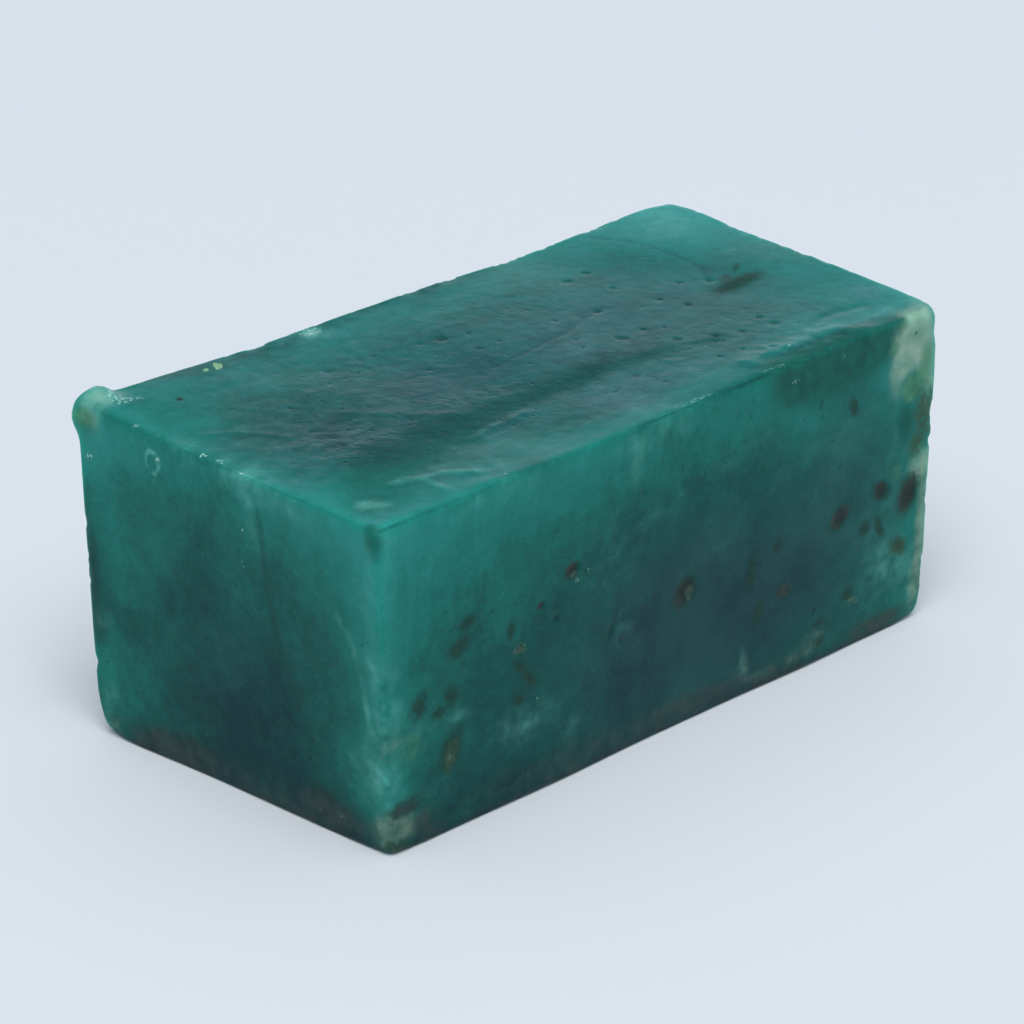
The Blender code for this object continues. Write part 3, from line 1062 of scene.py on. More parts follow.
    # Flecks that lie deeper, so the cloudy beryl blurs them.
    buried: tuple[Fleck, ...] = (
        *Fleck.on(
            Side.NEAR,
            (-26.3, 7.6, 1.9, 1.1, 80.0), (-25.7, 16.3, 1.2, 0.8, 20.0), (-24.9, 18.1, 0.9, 0.6, 20.0),
            (-29.8, 12.6, 1.3, 0.9, 60.0), (-26.5, 12.3, 1.0, 0.7, -70.0), (-27.7, 11.3, 0.7, 0.6),
            (-18.0, 10.9, 1.2, 0.5, -50.0), (-19.2, 12.4, 1.0, 0.4, -40.0), (-20.1, 15.9, 0.9, 0.5, 80.0),
            (-19.1, 9.3, 0.6, 0.5), (8.0, 11.2, 2.0, 0.6, 85.0), (9.2, 7.4, 1.3, 0.6, 70.0),
            (11.2, 12.9, 0.8, 0.6, 90.0), (17.0, 3.8, 0.9, 0.5), (20.6, 5.3, 0.9, 0.6),
            (17.0, 2.0, 0.8, 0.5), (22.5, 10.9, 0.8, 0.7), (24.5, 10.4, 1.3, 0.5, -60.0),
            (27.2, 7.8, 1.0, 0.6, -35.0), (20.6, 22.6, 1.0, 0.6, -60.0), (-31.2, 4.0, 2.2, 0.8, 8.0),
            (-32.0, 0.7, 2.2, 0.7, -10.0),
        ),
        *Fleck.on(Side.LEFT, (-9.5, 2.6, 1.8, 1.2, 20.0), (5.5, 1.8, 3.0, 1.2), (9.0, 1.2, 1.6, 1.2)),
        *Fleck.on(
            Side.TOP,
            (22.4, -1.2, 1.9, 1.0, 12.0), (25.2, -0.7, 2.0, 1.1, -6.0), (24.2, 0.6, 1.1, 0.6, 30.0),
            (26.6, 1.6, 1.0, 0.4, 30.0),
        ),
    )
    rust: tuple[Fleck, ...] = (
        *Fleck.on(
            Side.NEAR,
            (30.2, 19.4, 2.4, 1.5, 85.0), (29.3, 17.2, 1.5, 0.9, 62.0), (27.1, 7.8, 1.3, 0.8, -35.0),
            (28.2, 12.4, 1.8, 1.3, 60.0), (-32.4, 0.6, 1.4, 0.6, -10.0), (-26.3, 7.0, 1.2, 0.7, 80.0),
            (25.0, 1.2, 3.5, 0.6, 4.0),
        ),
        *Fleck.on(Side.FAR, (14.0, 2.0, 3.0, 1.2)),
    )
    tan: tuple[Fleck, ...] = (
        *Fleck.on(
            Side.NEAR,
            (-19.1, 13.8, 0.8, 0.5), (21.3, 4.5, 0.8, 0.4, -25.0), (-26.4, 6.7, 0.6, 0.5),
            (0.8, 11.9, 0.9, 0.4, 70.0), (-13.0, 18.2, 0.5, 0.4),
        ),
        *Fleck.on(Side.RIGHT, (-10.2, 12.0, 0.7, 0.4)),
    )
    # Yellow-green grains of crushed crystal.
    grains: tuple[Fleck, ...] = (
        *Fleck.on(Side.TOP, (-21.3, 15.6, 0.9, 0.5, 50.0), (-22.6, 15.6, 0.4, 0.3, 20.0)),
    )
    specks: tuple[Fleck, ...] = (
        *Fleck.on(
            Side.NEAR,
            (28.6, 27.2, 0.3, 0.25), (13.5, 27.5, 0.6, 0.5), (15.1, 27.3, 0.5, 0.4, 40.0),
            (22.4, 27.6, 0.7, 0.4, -20.0), (16.2, 24.2, 0.7, 0.4, 80.0), (13.9, 26.3, 0.6, 0.4, -30.0),
            (12.0, 25.5, 0.6, 0.4), (16.8, 28.2, 0.7, 0.6, 90.0), (19.6, 26.8, 0.5, 0.35),
            (18.2, 25.3, 0.6, 0.5), (19.3, 24.6, 0.5, 0.4), (20.9, 22.4, 0.5, 0.3),
            (17.8, 20.5, 0.5, 0.3), (19.0, 17.7, 0.5, 0.35, 90.0), (7.2, 25.7, 0.4, 0.3),
            (-23.0, 21.5, 0.4, 0.3), (-27.3, 19.8, 0.35, 0.3), (-26.5, 20.1, 0.3, 0.25),
            (-15.2, 22.7, 0.5, 0.35), (-29.2, 17.1, 0.35, 0.3), (4.6, 12.7, 0.4, 0.35),
            (-8.8, 11.6, 0.7, 0.5),
        ),
        *Fleck.on(Side.TOP, (-3.9, 7.4, 1.3, 0.7, 30.0), (7.0, -3.1, 1.3, 0.6, -10.0)),
    )
    # Tiny specks at random places: their half lengths, and their width as a share of that.
    scattered_specks: int = 70
    speck_margin: float = 1.0
    speck_lengths: tuple[float, float] = (0.2, 0.45)
    speck_width: float = 0.7
    steepest: float = 90.0

    def painted_glow(self, surface: Surface) -> np.ndarray:
        """The painted light that comes back out of the stone: most by the edges, least in its deep parts.

        For each side it adds that side's strength times exp(-gap / reach), on the faces next to it.
        The edges themselves get a band of painted shade.

        Args:
            surface: the stone's surface.

        Returns:
            The painted glow, from 0 to the brightest.
        """
        painted_glow = self.core_light + self.top_light * surface.facing(Side.TOP)
        for side, strength, reach in self.edge_light:
            painted_glow += strength * (1.0 - surface.facing(side)) * np.exp(-surface.gap(side) / reach)
        painted_glow += summed(surface, self.tones)
        painted_glow -= self.painted_edge_shade * bell(surface.edge_gap(), self.edge_width)
        return np.clip(painted_glow, 0.0, self.brightest)

    def edge_bruise_and_shade(self, surface: Surface) -> np.ndarray:
        """Bruises and painted shade on the top's edges: a bell of the distance to them, broken up by a
        noise.

        Args:
            surface: the stone's surface.

        Returns:
            How dark each point is made.
        """
        broken = self.edge_dark_strength + self.edge_dark_swing * self.edge_dark_noise.at(surface.places)
        near_top = bell(surface.gap(Side.TOP), self.arris_drop)
        return broken * bell(surface.edge_gap(), self.arris_width) * near_top

    def crust(self, surface: Surface) -> np.ndarray:
        """Where a rough skin of dark schist clings to the far side: high noise, more of it high up.

        Args:
            surface: the stone's surface.

        Returns:
            From 0 to 1 at each point.
        """
        high_up = smooth_step(surface.rise(Side.FAR), *self.crust_heights)
        skin = self.patches.at(surface.places) + self.crust_gain * high_up
        return smooth_step(skin, *self.crust_outline) * surface.facing(Side.FAR)

    def more_specks(self) -> list[Fleck]:
        """Scatters tiny specks over the four sides.

        Returns:
            The specks.
        """
        draw = np.random.default_rng(self.seed)
        specks = []
        for _ in range(self.scattered_specks):
            place = scattered(draw, self.speck_margin)
            length = draw.uniform(*self.speck_lengths)
            tilt = draw.uniform(-self.steepest, self.steepest)
            specks.append(Fleck(*place, length, self.speck_width * length, tilt))
        return specks

    def paint(self, mesh: bpy.types.Mesh, surface: Surface, relief: StoneRelief) -> None:
        """Writes each thing that colours the stone as its own attribute of its mesh.

        Args:
            mesh: the stone's mesh.
            surface: the surface that its points lie on.
            relief: the stone's relief.
        """
        top, crust = surface.facing(Side.TOP), self.crust(surface)
        upright = 1.0 - surface.facing(Side.UNDERSIDE)
        above_floor = surface.rise(Side.NEAR)
        floor_dirt = self.floor_dirt * np.exp(-above_floor / self.floor_dirt_reach) * upright
        cream = summed(surface, self.cream)
        wet = top * np.clip(1.0 - summed(surface, self.dull), 0.0, 1.0)
        layers = {
            "painted_glow": self.painted_glow(surface),
            "smoke": summed(surface, self.smoke),
            "milk_and_painted_highlight": summed(surface, self.milk_and_painted_highlight),
            "veins": nearest(surface, self.veins),
            "cracks_and_edge_shade": nearest(surface, self.cracks_and_edge_shade),
            "edge_bruise_and_shade": self.edge_bruise_and_shade(surface) * np.clip(1.0 - cream, 0.0, 1.0),
            "cream": cream,
            "bone": summed(surface, self.bone),
            "olive": summed(surface, self.olive),
            "emerald": summed(surface, self.emerald),
            "dirt_and_dark_edges": summed(surface, self.dirt_and_dark_edges) + floor_dirt + self.crust_dirt * crust,
            "painted_contact_shade": np.exp(-above_floor / self.contact_reach) * upright,
            "mica": np.maximum(nearest(surface, self.mica), self.crust_mica * crust),
            "buried": nearest(surface, self.buried),
            "rust": nearest(surface, self.rust),
            "tan": nearest(surface, self.tan),
            "grains": nearest(surface, self.grains),
            "specks": nearest(surface, (*self.specks, *self.more_specks())),
            "frost_and_painted_glints": summed(surface, self.frost_and_painted_glints),
            "painted_grey_sheen": summed(surface, self.painted_grey_sheen),
            "wet_and_painted_reflection": wet * (1.0 - bell(surface.edge_gap(), self.dry_edge)),
            "pits": relief.pit_nearness(surface),
            "wrinkled": self.top_wrinkling * top + summed(surface, self.wrinkled),
            "sawn": surface.facing(Side.NEAR) * summed(surface, self.sawn),
        }
        for name, values in layers.items():
            layer = mesh.attributes.new(name, "FLOAT", "POINT")
            layer.data.foreach_set("value", values.astype(np.float32))


@dataclass
class EmeraldStone:
    """The stone itself: its mesh, its relief and what shows through its surface."""

    low: Vector
    high: Vector
    name: str = "emerald_stone"
    body: str = "root"
    node: str = "emerald_block"
    slot: str = "emerald"
    relief: StoneRelief = StoneRelief()
    depths: StoneDepths = StoneDepths()

    def build(self) -> bpy.types.Object:
        """Makes the stone and dresses it.

        Returns:
            The finished object, at the origin.
        """
        form = BlockForm(self.low, self.high)
        box_points, quads = SurfaceLattice(form.size).build()
        surface = form.surface(box_points)
        height = self.relief.height(surface, self.depths.crust(surface))
        places = surface.places + surface.normals * height[:, None]
        mesh = self.mesh(np.clip(places, self.low, self.high), quads)
        self.depths.paint(mesh, surface, self.relief)
        mesh.materials.append(CloudyBeryl().make())
        stone = bpy.data.objects.new(self.name, mesh)
        bpy.context.scene.collection.objects.link(stone)
        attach(stone, self.body)
        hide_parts(self.node)
        log.info("stone: %d points, %d triangles", len(box_points), 2 * len(quads))
        return stone

    def mesh(self, places: np.ndarray, quads: np.ndarray) -> bpy.types.Mesh:
        """Puts the points and quads into a mesh as whole arrays.

        Args:
            places: the points, one row each.
            quads: four point numbers for each quad.

        Returns:
            The mesh, smoothly shaded.
        """
        mesh = bpy.data.meshes.new(self.name)
        mesh.vertices.add(len(places))
        mesh.vertices.foreach_set("co", places.astype(np.float32).ravel())
        mesh.loops.add(quads.size)
        mesh.loops.foreach_set("vertex_index", quads.astype(np.int32).ravel())
        mesh.polygons.add(len(quads))
        mesh.polygons.foreach_set("loop_start", np.arange(0, quads.size, 4, dtype=np.int32))
        mesh.update(calc_edges=True)
        mesh.validate()
        mesh.shade_smooth()
        return mesh


# ---------------------------------------------------------------------------------------------------
# Finishes
# ---------------------------------------------------------------------------------------------------

# The numbers of the sockets of a Mix node that mixes two colours.
MIX_SHARE, MIX_UNDER, MIX_OVER, MIX_RESULT = 0, 6, 7, 2


def add_node(
    tree: Tree, kind: str, inputs: dict[str | int, object], output: str | int = 0, **settings: object
) -> Socket | None:
    """Adds a shader node, sets its options, and sets or links its inputs.

    Args:
        tree: the node tree.
        kind: the node's type, less the "ShaderNode" that it starts with.
        inputs: for each input, by name or number, a socket to link from or a value to set.
        output: the name or number of the output that is wanted.
        settings: the node's own options.

    Returns:
        That output, or None if the node has no outputs.
    """
    node = tree.nodes.new("ShaderNode" + kind)
    for name, value in settings.items():
        setattr(node, name, value)
    for name, value in inputs.items():
        if isinstance(value, Socket):
            tree.links.new(value, node.inputs[name])
        else:
            node.inputs[name].default_value = value
    return node.outputs[output] if node.outputs else None


class Mottle(Enum):
    """The noises that the beryl and its inclusions share, each as the size of its cells."""

    CLOUD = 5.0 * MM
    PATCH = 1.4 * MM
    GRIT = 0.6 * MM
    FINE = 0.28 * MM


Mottles = dict[Mottle, Socket]


@dataclass(frozen=True)
class Inclusion:
    """A mineral, a film or painted light and shade, covering the beryl's colour where its attribute says.

    A noise makes the attribute's amount uneven. The inclusion begins to show where the amount
    passes its start, and is as thick as it gets at its full. The same noise mixes its two colours.
    """

    attribute: str
    dark: str
    light: str
    mottle: Mottle
    ragged: float
    start: float
    full: float
    opacity: float

    def lay_over(self, tree: Tree, mottles: Mottles, colour: Socket) -> Socket:
        """Adds the nodes that lay the inclusion over a colour.

        Args:
            tree: the material's node tree.
            mottles: the shared noises, each from -1 to 1.
            colour: the colour under the inclusion.

        Returns:
            The colour with the inclusion over it.
        """
        noise = mottles[self.mottle]
        amount = add_node(tree, "Attribute", {}, "Fac", attribute_name=self.attribute)
        uneven = add_node(tree, "Math", {0: noise, 1: self.ragged, 2: 1.0}, operation="MULTIPLY_ADD")
        amount = add_node(tree, "Math", {0: amount, 1: uneven}, operation="MULTIPLY")
        reach = {"Value": amount, "From Min": self.start, "From Max": self.full, "To Max": self.opacity}
        cover = add_node(tree, "MapRange", reach, interpolation_type="SMOOTHSTEP")
        share = add_node(tree, "MapRange", {"Value": noise, "From Min": -1.0, "From Max": 1.0})
        pair = {MIX_SHARE: share, MIX_UNDER: linear(self.dark), MIX_OVER: linear(self.light)}
        own = add_node(tree, "Mix", pair, MIX_RESULT, data_type="RGBA")
        pair = {MIX_SHARE: cover, MIX_UNDER: colour, MIX_OVER: own}
        return add_node(tree, "Mix", pair, MIX_RESULT, data_type="RGBA")


@dataclass(frozen=True)
class CloudyBeryl:
    """Cloudy emerald: green beryl full of fine inclusions, sawn, with its top wetted or waxed.

    Light goes a few millimetres in and scatters back, so thin edges glow and thick parts are dark.
    The sawn sides are satin. The top has a clear sheen over it, with dull gaps.
    """

    name: str = "cloudy_emerald"
    # The painted glow's colours, from the stone's deep core out to its glowing edges.
    stops: tuple[tuple[float, str], ...] = (
        (0.0, "#08383C"),
        (0.3, "#0C5650"),
        (0.6, "#147269"),
        (1.0, "#258A83"),
        (1.25, "#3F9F98"),
    )
    # How far each noise moves the glow each way.
    cloudiness: tuple[tuple[Mottle, float], ...] = (
        (Mottle.CLOUD, 0.10),
        (Mottle.PATCH, 0.06),
        (Mottle.GRIT, 0.04),
        (Mottle.FINE, 0.06),
    )
    inclusions: tuple[Inclusion, ...] = (
        # Smoky beryl, greyer and bluer.
        Inclusion("smoke", "#22424E", "#2C4C54", Mottle.CLOUD, 0.3, 0.0, 1.1, 0.45),
        # Milky veils of tiny fluid bubbles, paler and greyer than the beryl, and a painted highlight.
        Inclusion("milk_and_painted_highlight", "#3F8C84", "#64AAA0", Mottle.PATCH, 0.40, 0.05, 1.25, 0.85),
        # Clear beryl, a deeper and purer green.
        Inclusion("emerald", "#05403A", "#095C4E", Mottle.PATCH, 0.3, 0.10, 0.95, 0.85),
        # Cream feldspar grown in with the beryl.
        Inclusion("cream", "#6F9885", "#92AF9C", Mottle.PATCH, 0.25, 0.05, 0.95, 0.90),
        # The same feldspar, soiled.
        Inclusion("bone", "#3E5E54", "#74907F", Mottle.PATCH, 0.35, 0.10, 1.05, 0.85),
        # Feldspar stained olive.
        Inclusion("olive", "#306A50", "#4F8766", Mottle.PATCH, 0.4, 0.15, 0.95, 0.80),
        # Pale healed cracks.
        Inclusion("veins", "#3E9A8E", "#6DB6AA", Mottle.PATCH, 0.25, 0.30, 1.20, 0.55),
        # Dark open cracks, and painted shade along the top's near edge.
        Inclusion("cracks_and_edge_shade", "#0A3C3E", "#0C4442", Mottle.GRIT, 0.3, 0.40, 1.05, 0.60),
        # Bruises and painted shade along the top's edges.
        Inclusion("edge_bruise_and_shade", "#083C39", "#1E6A62", Mottle.FINE, 0.6, 0.20, 1.00, 0.62),
        # Mica that lies deep, seen through cloudy beryl.
        Inclusion("buried", "#0B322C", "#1D4136", Mottle.GRIT, 0.35, 0.27, 0.85, 0.88),
        # Stone stained olive-brown by weathered mica.
        Inclusion("rust", "#233F33", "#385642", Mottle.GRIT, 0.45, 0.20, 0.90, 0.88),
        # Dirt and rock dust in the grain of the sawn faces, and darker strips along the far edges.
        Inclusion("dirt_and_dark_edges", "#1F3638", "#384A49", Mottle.PATCH, 0.35, 0.10, 1.15, 0.85),
        # Painted shade where the stone touches the floor.
        Inclusion("painted_contact_shade", "#162222", "#262E2D", Mottle.PATCH, 0.25, 0.30, 1.00, 0.85),
        # Specks of darker green beryl.
        Inclusion("specks", "#07433F", "#0C5A4F", Mottle.FINE, 0.25, 0.45, 0.75, 0.70),
        # The dark green rim of beryl around a fleck of mica.
        Inclusion("mica", "#063C38", "#0A4A44", Mottle.GRIT, 0.3, 0.15, 0.60, 0.60),
        # Dark biotite mica, seen on the edges of its flakes.
        Inclusion("mica", "#1C2B2D", "#31403B", Mottle.GRIT, 0.3, 0.44, 0.68, 0.90),
        # Grains stained tan by iron.
        Inclusion("tan", "#2C4A3E", "#5E7460", Mottle.FINE, 0.3, 0.42, 0.85, 0.70),
        # Yellow-green crushed crystal.
        Inclusion("grains", "#5C9C76", "#A4CB94", Mottle.FINE, 0.3, 0.50, 0.66, 0.90),
        # The film of wax on the top, with a faint blue painted reflection.
        Inclusion("wet_and_painted_reflection", "#28687E", "#38788C", Mottle.PATCH, 0.35, 0.15, 1.00, 0.15),
        # A painted grey sheen.
        Inclusion("painted_grey_sheen", "#6E8898", "#88A1AE", Mottle.PATCH, 0.35, 0.05, 1.00, 0.14),
        # Frosted, crushed crystal, with painted white glints where it sparkles.
        Inclusion("frost_and_painted_glints", "#5FA89C", "#B9DDD5", Mottle.FINE, 0.8, 0.62, 1.25, 0.72),
    )
    ior: float = 1.58
    specular: float = 0.1
    side_roughness: float = 0.55
    top_roughness: float = 0.40
    # The sheen: its strength, what is left of it in the pits, and its ragged outline.
    sheen_strength: float = 0.27
    sheen_in_pits: float = 0.1
    sheen_roughness: float = 0.12
    sheen_ragged: float = 0.14
    sheen_outline: tuple[float, float] = (0.20, 0.85)
    # A pit's inside begins and is as hollow as it gets at these nearnesses to its middle.
    pit_inside: tuple[float, float] = (0.50, 0.80)
    pit_depth: float = 0.05 * MM
    # Painted shade in the pits: how much it darkens their insides, and its colour.
    hollow_shade: float = 0.20
    pit_shade_colour: str = "#000000"
    grain_height: float = 0.005 * MM
    wrinkle_size: float = 1.1 * MM
    wrinkle_height: float = 0.14 * MM
    # The radius of each tiny pit, as a share of their spacing, is the first of these, plus the second
    # times the wrinkling there, plus the third times a random value. Their walls are the last one wide.
    tiny_pit_spacing: float = 1.25 * MM
    tiny_pit_least: float = -0.57
    tiny_pit_growth: float = 0.27
    tiny_pit_spread: float = 0.65
    tiny_pit_wall: float = 0.13
    streak_spacing: float = 0.5 * MM
    streak_length: float = 7.0 * MM
    streak_swing: float = 0.13
    streak_detail: float = 1.0
    # Between which values nearly all of a noise lies, and how many finer layers it has.
    noise_span: tuple[float, float] = (0.28, 0.72)
    noise_detail: float = 2.0
    # How much further red, green and blue light go than one another, and how deep the light goes.
    scatter_radius: Point = (0.35, 1.0, 0.85)
    scatter_depth: float = 4.0 * MM

    def make(self) -> bpy.types.Material:
        """Builds the material.

        Returns:
            The material.
        """
        material = bpy.data.materials.new(self.name)
        material.use_nodes = True
        tree = material.node_tree
        tree.nodes.clear()
        place = add_node(tree, "TexCoord", {}, "Object")
        mottles = self.mottles(tree, place)
        wet = self.wetness(tree, mottles)
        hollow = self.hollows(tree, place)
        colour = self.beryl(tree, place, mottles)
        for inclusion in self.inclusions:
            colour = inclusion.lay_over(tree, mottles, colour)
        # Painted shade darkens the insides of the pits.
        shade = add_node(tree, "Math", {0: hollow, 1: self.hollow_shade}, operation="MULTIPLY")
        pair = {MIX_SHARE: shade, MIX_UNDER: colour, MIX_OVER: linear(self.pit_shade_colour)}
        colour = add_node(tree, "Mix", pair, MIX_RESULT, data_type="RGBA")
        ends = {"Value": wet, "To Min": self.side_roughness, "To Max": self.top_roughness}
        roughness = add_node(tree, "MapRange", ends)
        ends = {"Value": hollow, "To Min": self.sheen_strength, "To Max": self.sheen_in_pits}
        coat = add_node(tree, "MapRange", ends)
        coat = add_node(tree, "Math", {0: coat, 1: wet}, operation="MULTIPLY")
        normal = self.fine_relief(tree, place, mottles, wet, hollow)
        shader = add_node(
            tree,
            "BsdfPrincipled",
            {
                "Base Color": colour,
                "Roughness": roughness,
                "IOR": self.ior,
                "Specular IOR Level": self.specular,
                "Normal": normal,
                "Coat Weight": coat,
                "Coat Roughness": self.sheen_roughness,
                "Coat Normal": normal,
                "Subsurface Weight": 1.0,
                "Subsurface Radius": self.scatter_radius,
                "Subsurface Scale": self.scatter_depth,
            },
        )
        add_node(tree, "OutputMaterial", {"Surface": shader})
        return material

    def mottles(self, tree: Tree, place: Socket) -> Mottles:
        """Adds the shared noises.

        Args:
            tree: the material's node tree.
            place: the object coordinates.

        Returns:
            Each noise's socket, with values from about -1 to 1.
        """
        mottles = {}
        low, high = self.noise_span
        for mottle in Mottle:
            cells = {"Vector": place, "Scale": 1 / mottle.value, "Detail": self.noise_detail}
            noise = add_node(tree, "TexNoise", cells, "Fac")
            span = {"Value": noise, "From Min": low, "From Max": high, "To Min": -1.0, "To Max": 1.0}
            mottles[mottle] = add_node(tree, "MapRange", span, clamp=False)
        return mottles

    def wetness(self, tree: Tree, mottles: Mottles) -> Socket:
        """Where the top is wet or waxed: the wet film's attribute, cut off at a ragged outline.

        Args:
            tree: the material's node tree.
            mottles: the shared noises.

        Returns:
            1 where it is wet, 0 where it is dull.
        """
        wet_and_painted_reflection = add_node(tree, "Attribute", {}, "Fac", attribute_name="wet_and_painted_reflection")
        terms = {0: mottles[Mottle.PATCH], 1: self.sheen_ragged, 2: wet_and_painted_reflection}
        ragged = add_node(tree, "Math", terms, operation="MULTIPLY_ADD")
        dry, wet = self.sheen_outline
        outline = {"Value": ragged, "From Min": dry, "From Max": wet}
        return add_node(tree, "MapRange", outline, interpolation_type="SMOOTHSTEP")

    def hollows(self, tree: Tree, place: Socket) -> Socket:
        """The insides of the mesh's pits and of the tiny ones that it is too coarse for.

        Args:
            tree: the material's node tree.
            place: the object coordinates.

        Returns:
            1 in the middle of each pit, 0 outside.
        """
        pits = add_node(tree, "Attribute", {}, "Fac", attribute_name="pits")
        rim, bottom = self.pit_inside
        inside = {"Value": pits, "From Min": rim, "From Max": bottom}
        hollow = add_node(tree, "MapRange", inside, interpolation_type="SMOOTHSTEP")
        return add_node(tree, "Math", {0: hollow, 1: self.tiny_pits(tree, place)}, operation="MAXIMUM")

    def beryl(self, tree: Tree, place: Socket, mottles: Mottles) -> Socket:
        """The beryl's colour and painted glow: a ramp over the glow, which noises and saw streaks make
        uneven.

        Args:
            tree: the material's node tree.
            place: the object coordinates.
            mottles: the shared noises.

        Returns:
            The colour.
        """
        painted_glow = add_node(tree, "Attribute", {}, "Fac", attribute_name="painted_glow")
        for mottle, swing in self.cloudiness:
            painted_glow = add_node(tree, "Math", {0: mottles[mottle], 1: swing, 2: painted_glow}, operation="MULTIPLY_ADD")
        sawn = add_node(tree, "Attribute", {}, "Fac", attribute_name="sawn")
        stretch = (1 / self.streak_spacing, 1 / self.streak_spacing, 1 / self.streak_length)
        drawn_out = add_node(tree, "Mapping", {"Vector": place, "Scale": stretch}, vector_type="POINT")
        cells = {"Vector": drawn_out, "Scale": 1.0, "Detail": self.streak_detail}
        streaks = add_node(tree, "TexNoise", cells, "Fac")
        swing = {"Value": streaks, "To Min": -self.streak_swing, "To Max": self.streak_swing}
        streaks = add_node(tree, "MapRange", swing)
        painted_glow = add_node(tree, "Math", {0: streaks, 1: sawn, 2: painted_glow}, operation="MULTIPLY_ADD")
        longest = self.stops[-1][0]
        share = add_node(tree, "Math", {0: painted_glow, 1: longest}, operation="DIVIDE")
        colour = add_node(tree, "ValToRGB", {"Fac": share}, "Color")
        elements = colour.node.color_ramp.elements
        elements[0].color = linear(self.stops[0][1])
        elements[1].color = linear(self.stops[-1][1])
        for position, hex_colour in self.stops[1:-1]:
            elements.new(position / longest).color = linear(hex_colour)
        return colour

    def tiny_pits(self, tree: Tree, place: Socket) -> Socket:
        """Round pits of many sizes, too small for the mesh, where the top is wrinkled.

        Each cell of a Voronoi pattern holds one. Its size is the cell's own random value, less a
        share that grows as the wrinkling fades, so smooth places keep only a few.

        Args:
            tree: the material's node tree.
            place: the object coordinates.

        Returns:
            1 in the middle of each pit, 0 outside.
        """
        wrinkled = add_node(tree, "Attribute", {}, "Fac", attribute_name="wrinkled")
        cells = {"Vector": place, "Scale": 1 / self.tiny_pit_spacing}
        distance = add_node(tree, "TexVoronoi", cells, "Distance", voronoi_dimensions="2D")
        draw = add_node(tree, "SeparateColor", {"Color": distance.node.outputs["Color"]}, "Red")
        terms = {0: wrinkled, 1: self.tiny_pit_growth, 2: self.tiny_pit_least}
        least = add_node(tree, "Math", terms, operation="MULTIPLY_ADD")
        terms = {0: draw, 1: self.tiny_pit_spread, 2: least}
        size = add_node(tree, "Math", terms, operation="MULTIPLY_ADD")
        inside = add_node(tree, "Math", {0: size, 1: distance}, operation="SUBTRACT")
        wall = {"Value": inside, "From Min": 0.0, "From Max": self.tiny_pit_wall}
        return add_node(tree, "MapRange", wall, interpolation_type="SMOOTHSTEP")

    def fine_relief(
        self, tree: Tree, place: Socket, mottles: Mottles, wet: Socket, hollow: Socket
    ) -> Socket:
        """Relief too fine for the mesh, added up in metres: the grain, the wrinkles and the pits.

        Args:
            tree: the material's node tree.
            place: the object coordinates.
            mottles: the shared noises.
            wet: where the top is wet, which fills its grain.
            hollow: 1 in the middle of the pits, 0 outside them.

        Returns:
            The normal.
        """
        wrinkled = add_node(tree, "Attribute", {}, "Fac", attribute_name="wrinkled")
        cells = {"Vector": place, "Scale": 1 / self.wrinkle_size, "Detail": self.noise_detail}
        folds = add_node(tree, "TexNoise", cells, "Fac")
        wrinkles = add_node(tree, "Math", {0: folds, 1: self.wrinkle_height}, operation="MULTIPLY")
        wrinkles = add_node(tree, "Math", {0: wrinkles, 1: wrinkled}, operation="MULTIPLY")
        grain = add_node(tree, "MapRange", {"Value": wet, "To Min": self.grain_height, "To Max": 0.0})
        terms = {0: mottles[Mottle.FINE], 1: grain, 2: wrinkles}
        height = add_node(tree, "Math", terms, operation="MULTIPLY_ADD")
        terms = {0: hollow, 1: -self.pit_depth, 2: height}
        height = add_node(tree, "Math", terms, operation="MULTIPLY_ADD")
        return add_node(tree, "Bump", {"Height": height, "Strength": 1.0, "Distance": 1.0}, "Normal")


@dataclass(frozen=True)
class WhiteCard:
    """A sheet of smooth, slightly blue-white card for the stone to lie on."""

    name: str = "white_card"
    colour: str = "#DDE2E8"
    roughness: float = 0.6
    specular: float = 0.2

    def make(self) -> bpy.types.Material:
        """Builds the material.

        Returns:
            The material.
        """
        material = bpy.data.materials.new(self.name)
        material.use_nodes = True
        shader = material.node_tree.nodes["Principled BSDF"]
        shader.inputs["Base Color"].default_value = linear(self.colour)
        shader.inputs["Roughness"].default_value = self.roughness
        shader.inputs["Specular IOR Level"].default_value = self.specular
        return material


# ---------------------------------------------------------------------------------------------------
# Studio
# ---------------------------------------------------------------------------------------------------


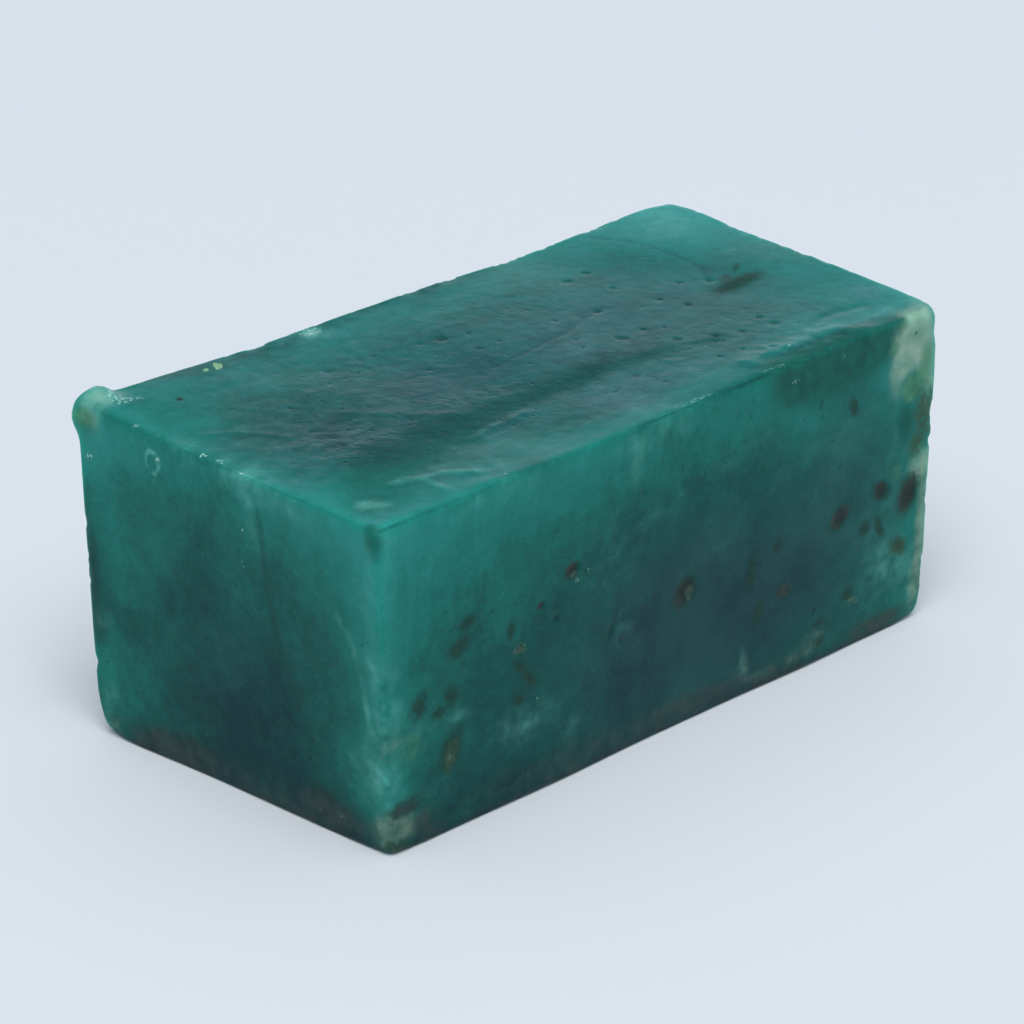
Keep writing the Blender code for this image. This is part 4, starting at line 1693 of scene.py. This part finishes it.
@dataclass
class Studio:
    """The floor, the soft lights and the camera. Angles are in degrees."""

    floor_size: float = 6.0
    camera_place: Point = (-197.68 * MM, -195.09 * MM, 138.18 * MM)
    camera_azimuth: float = 45.04
    camera_drop: float = 24.08
    lens: float = 126.56
    sensor_width: float = 36.0
    clip_start: float = 0.01
    # The sky's colours, from straight down, through level at one half, to straight up.
    horizon: str = "#DAE2EA"
    sky_bands: tuple[tuple[float, str], ...] = (
        (0.27, "#D2DAE2"),
        (0.42, "#3A4044"),
        (0.58, "#40464A"),
        (0.72, "#C6CED6"),
    )
    overhead: str = "#D0D8E0"
    sky_strength: float = 1.0
    lamp_azimuth: float = -130.0
    lamp_elevation: float = 62.0
    lamp_distance: float = 4.0
    lamp_size: float = 3.0
    lamp_power: float = 122.0

    def build(self) -> None:
        """Sets up everything around the stone."""
        self.floor()
        self.sky()
        self.lamp()
        self.camera()
        log.info("studio: floor, lights and camera")

    def floor(self) -> None:
        """A level sheet at the height that the stone rests on."""
        half = self.floor_size / 2
        mesh = bpy.data.meshes.new("floor")
        corners = [(-half, -half, 0.0), (half, -half, 0.0), (half, half, 0.0), (-half, half, 0.0)]
        mesh.from_pydata(corners, [], [(0, 1, 2, 3)])
        mesh.materials.append(WhiteCard().make())
        floor = bpy.data.objects.new("floor", mesh)
        bpy.context.scene.collection.objects.link(floor)

    def sky(self) -> None:
        """A soft tent's light: a ramp of colours over how steeply up or down each direction goes."""
        world = bpy.data.worlds.new("soft_tent")
        world.use_nodes = True
        tree = world.node_tree
        background = tree.nodes["Background"]
        direction = add_node(tree, "TexCoord", {}, "Generated")
        height = add_node(tree, "SeparateXYZ", {"Vector": direction}, "Z")
        colour = add_node(tree, "ValToRGB", {"Fac": height}, "Color")
        stops = colour.node.color_ramp.elements
        stops[0].position, stops[0].color = 0.0, linear(self.horizon)
        stops[1].position, stops[1].color = 1.0, linear(self.overhead)
        for position, hex_colour in self.sky_bands:
            stops.new(position).color = linear(hex_colour)
        tree.links.new(colour, background.inputs["Color"])
        background.inputs["Strength"].default_value = self.sky_strength
        bpy.context.scene.world = world
        bpy.context.scene.view_settings.view_transform = "Standard"

    def lamp(self) -> None:
        """One broad softbox above and in front of the stone, aimed at it."""
        lamp = bpy.data.objects.new("softbox", bpy.data.lights.new("softbox", "AREA"))
        lamp.data.shape = "SQUARE"
        lamp.data.size = self.lamp_size
        lamp.data.energy = self.lamp_power
        azimuth, elevation = math.radians(self.lamp_azimuth), math.radians(self.lamp_elevation)
        level = math.cos(elevation)
        aim = Vector((level * math.cos(azimuth), level * math.sin(azimuth), math.sin(elevation)))
        lamp.location = self.lamp_distance * aim
        lamp.rotation_euler = aim.to_track_quat("Z", "Y").to_euler()
        bpy.context.scene.collection.objects.link(lamp)

    def camera(self) -> None:
        """A long lens that looks down along the block's near corner."""
        camera = bpy.data.objects.new("camera", bpy.data.cameras.new("camera"))
        camera.data.lens = self.lens
        camera.data.sensor_width = self.sensor_width
        camera.data.clip_start = self.clip_start
        camera.location = self.camera_place
        pitch, turn = 90.0 - self.camera_drop, self.camera_azimuth - 90.0
        camera.rotation_euler = (math.radians(pitch), 0.0, math.radians(turn))
        bpy.context.scene.collection.objects.link(camera)
        bpy.context.scene.camera = camera


def main() -> None:
    """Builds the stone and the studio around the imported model."""
    logging.basicConfig(level=logging.INFO, format="%(message)s")
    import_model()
    low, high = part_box("emerald_block")
    EmeraldStone(low, high).build()
    Studio().build()


if __name__ == "__main__":
    main()
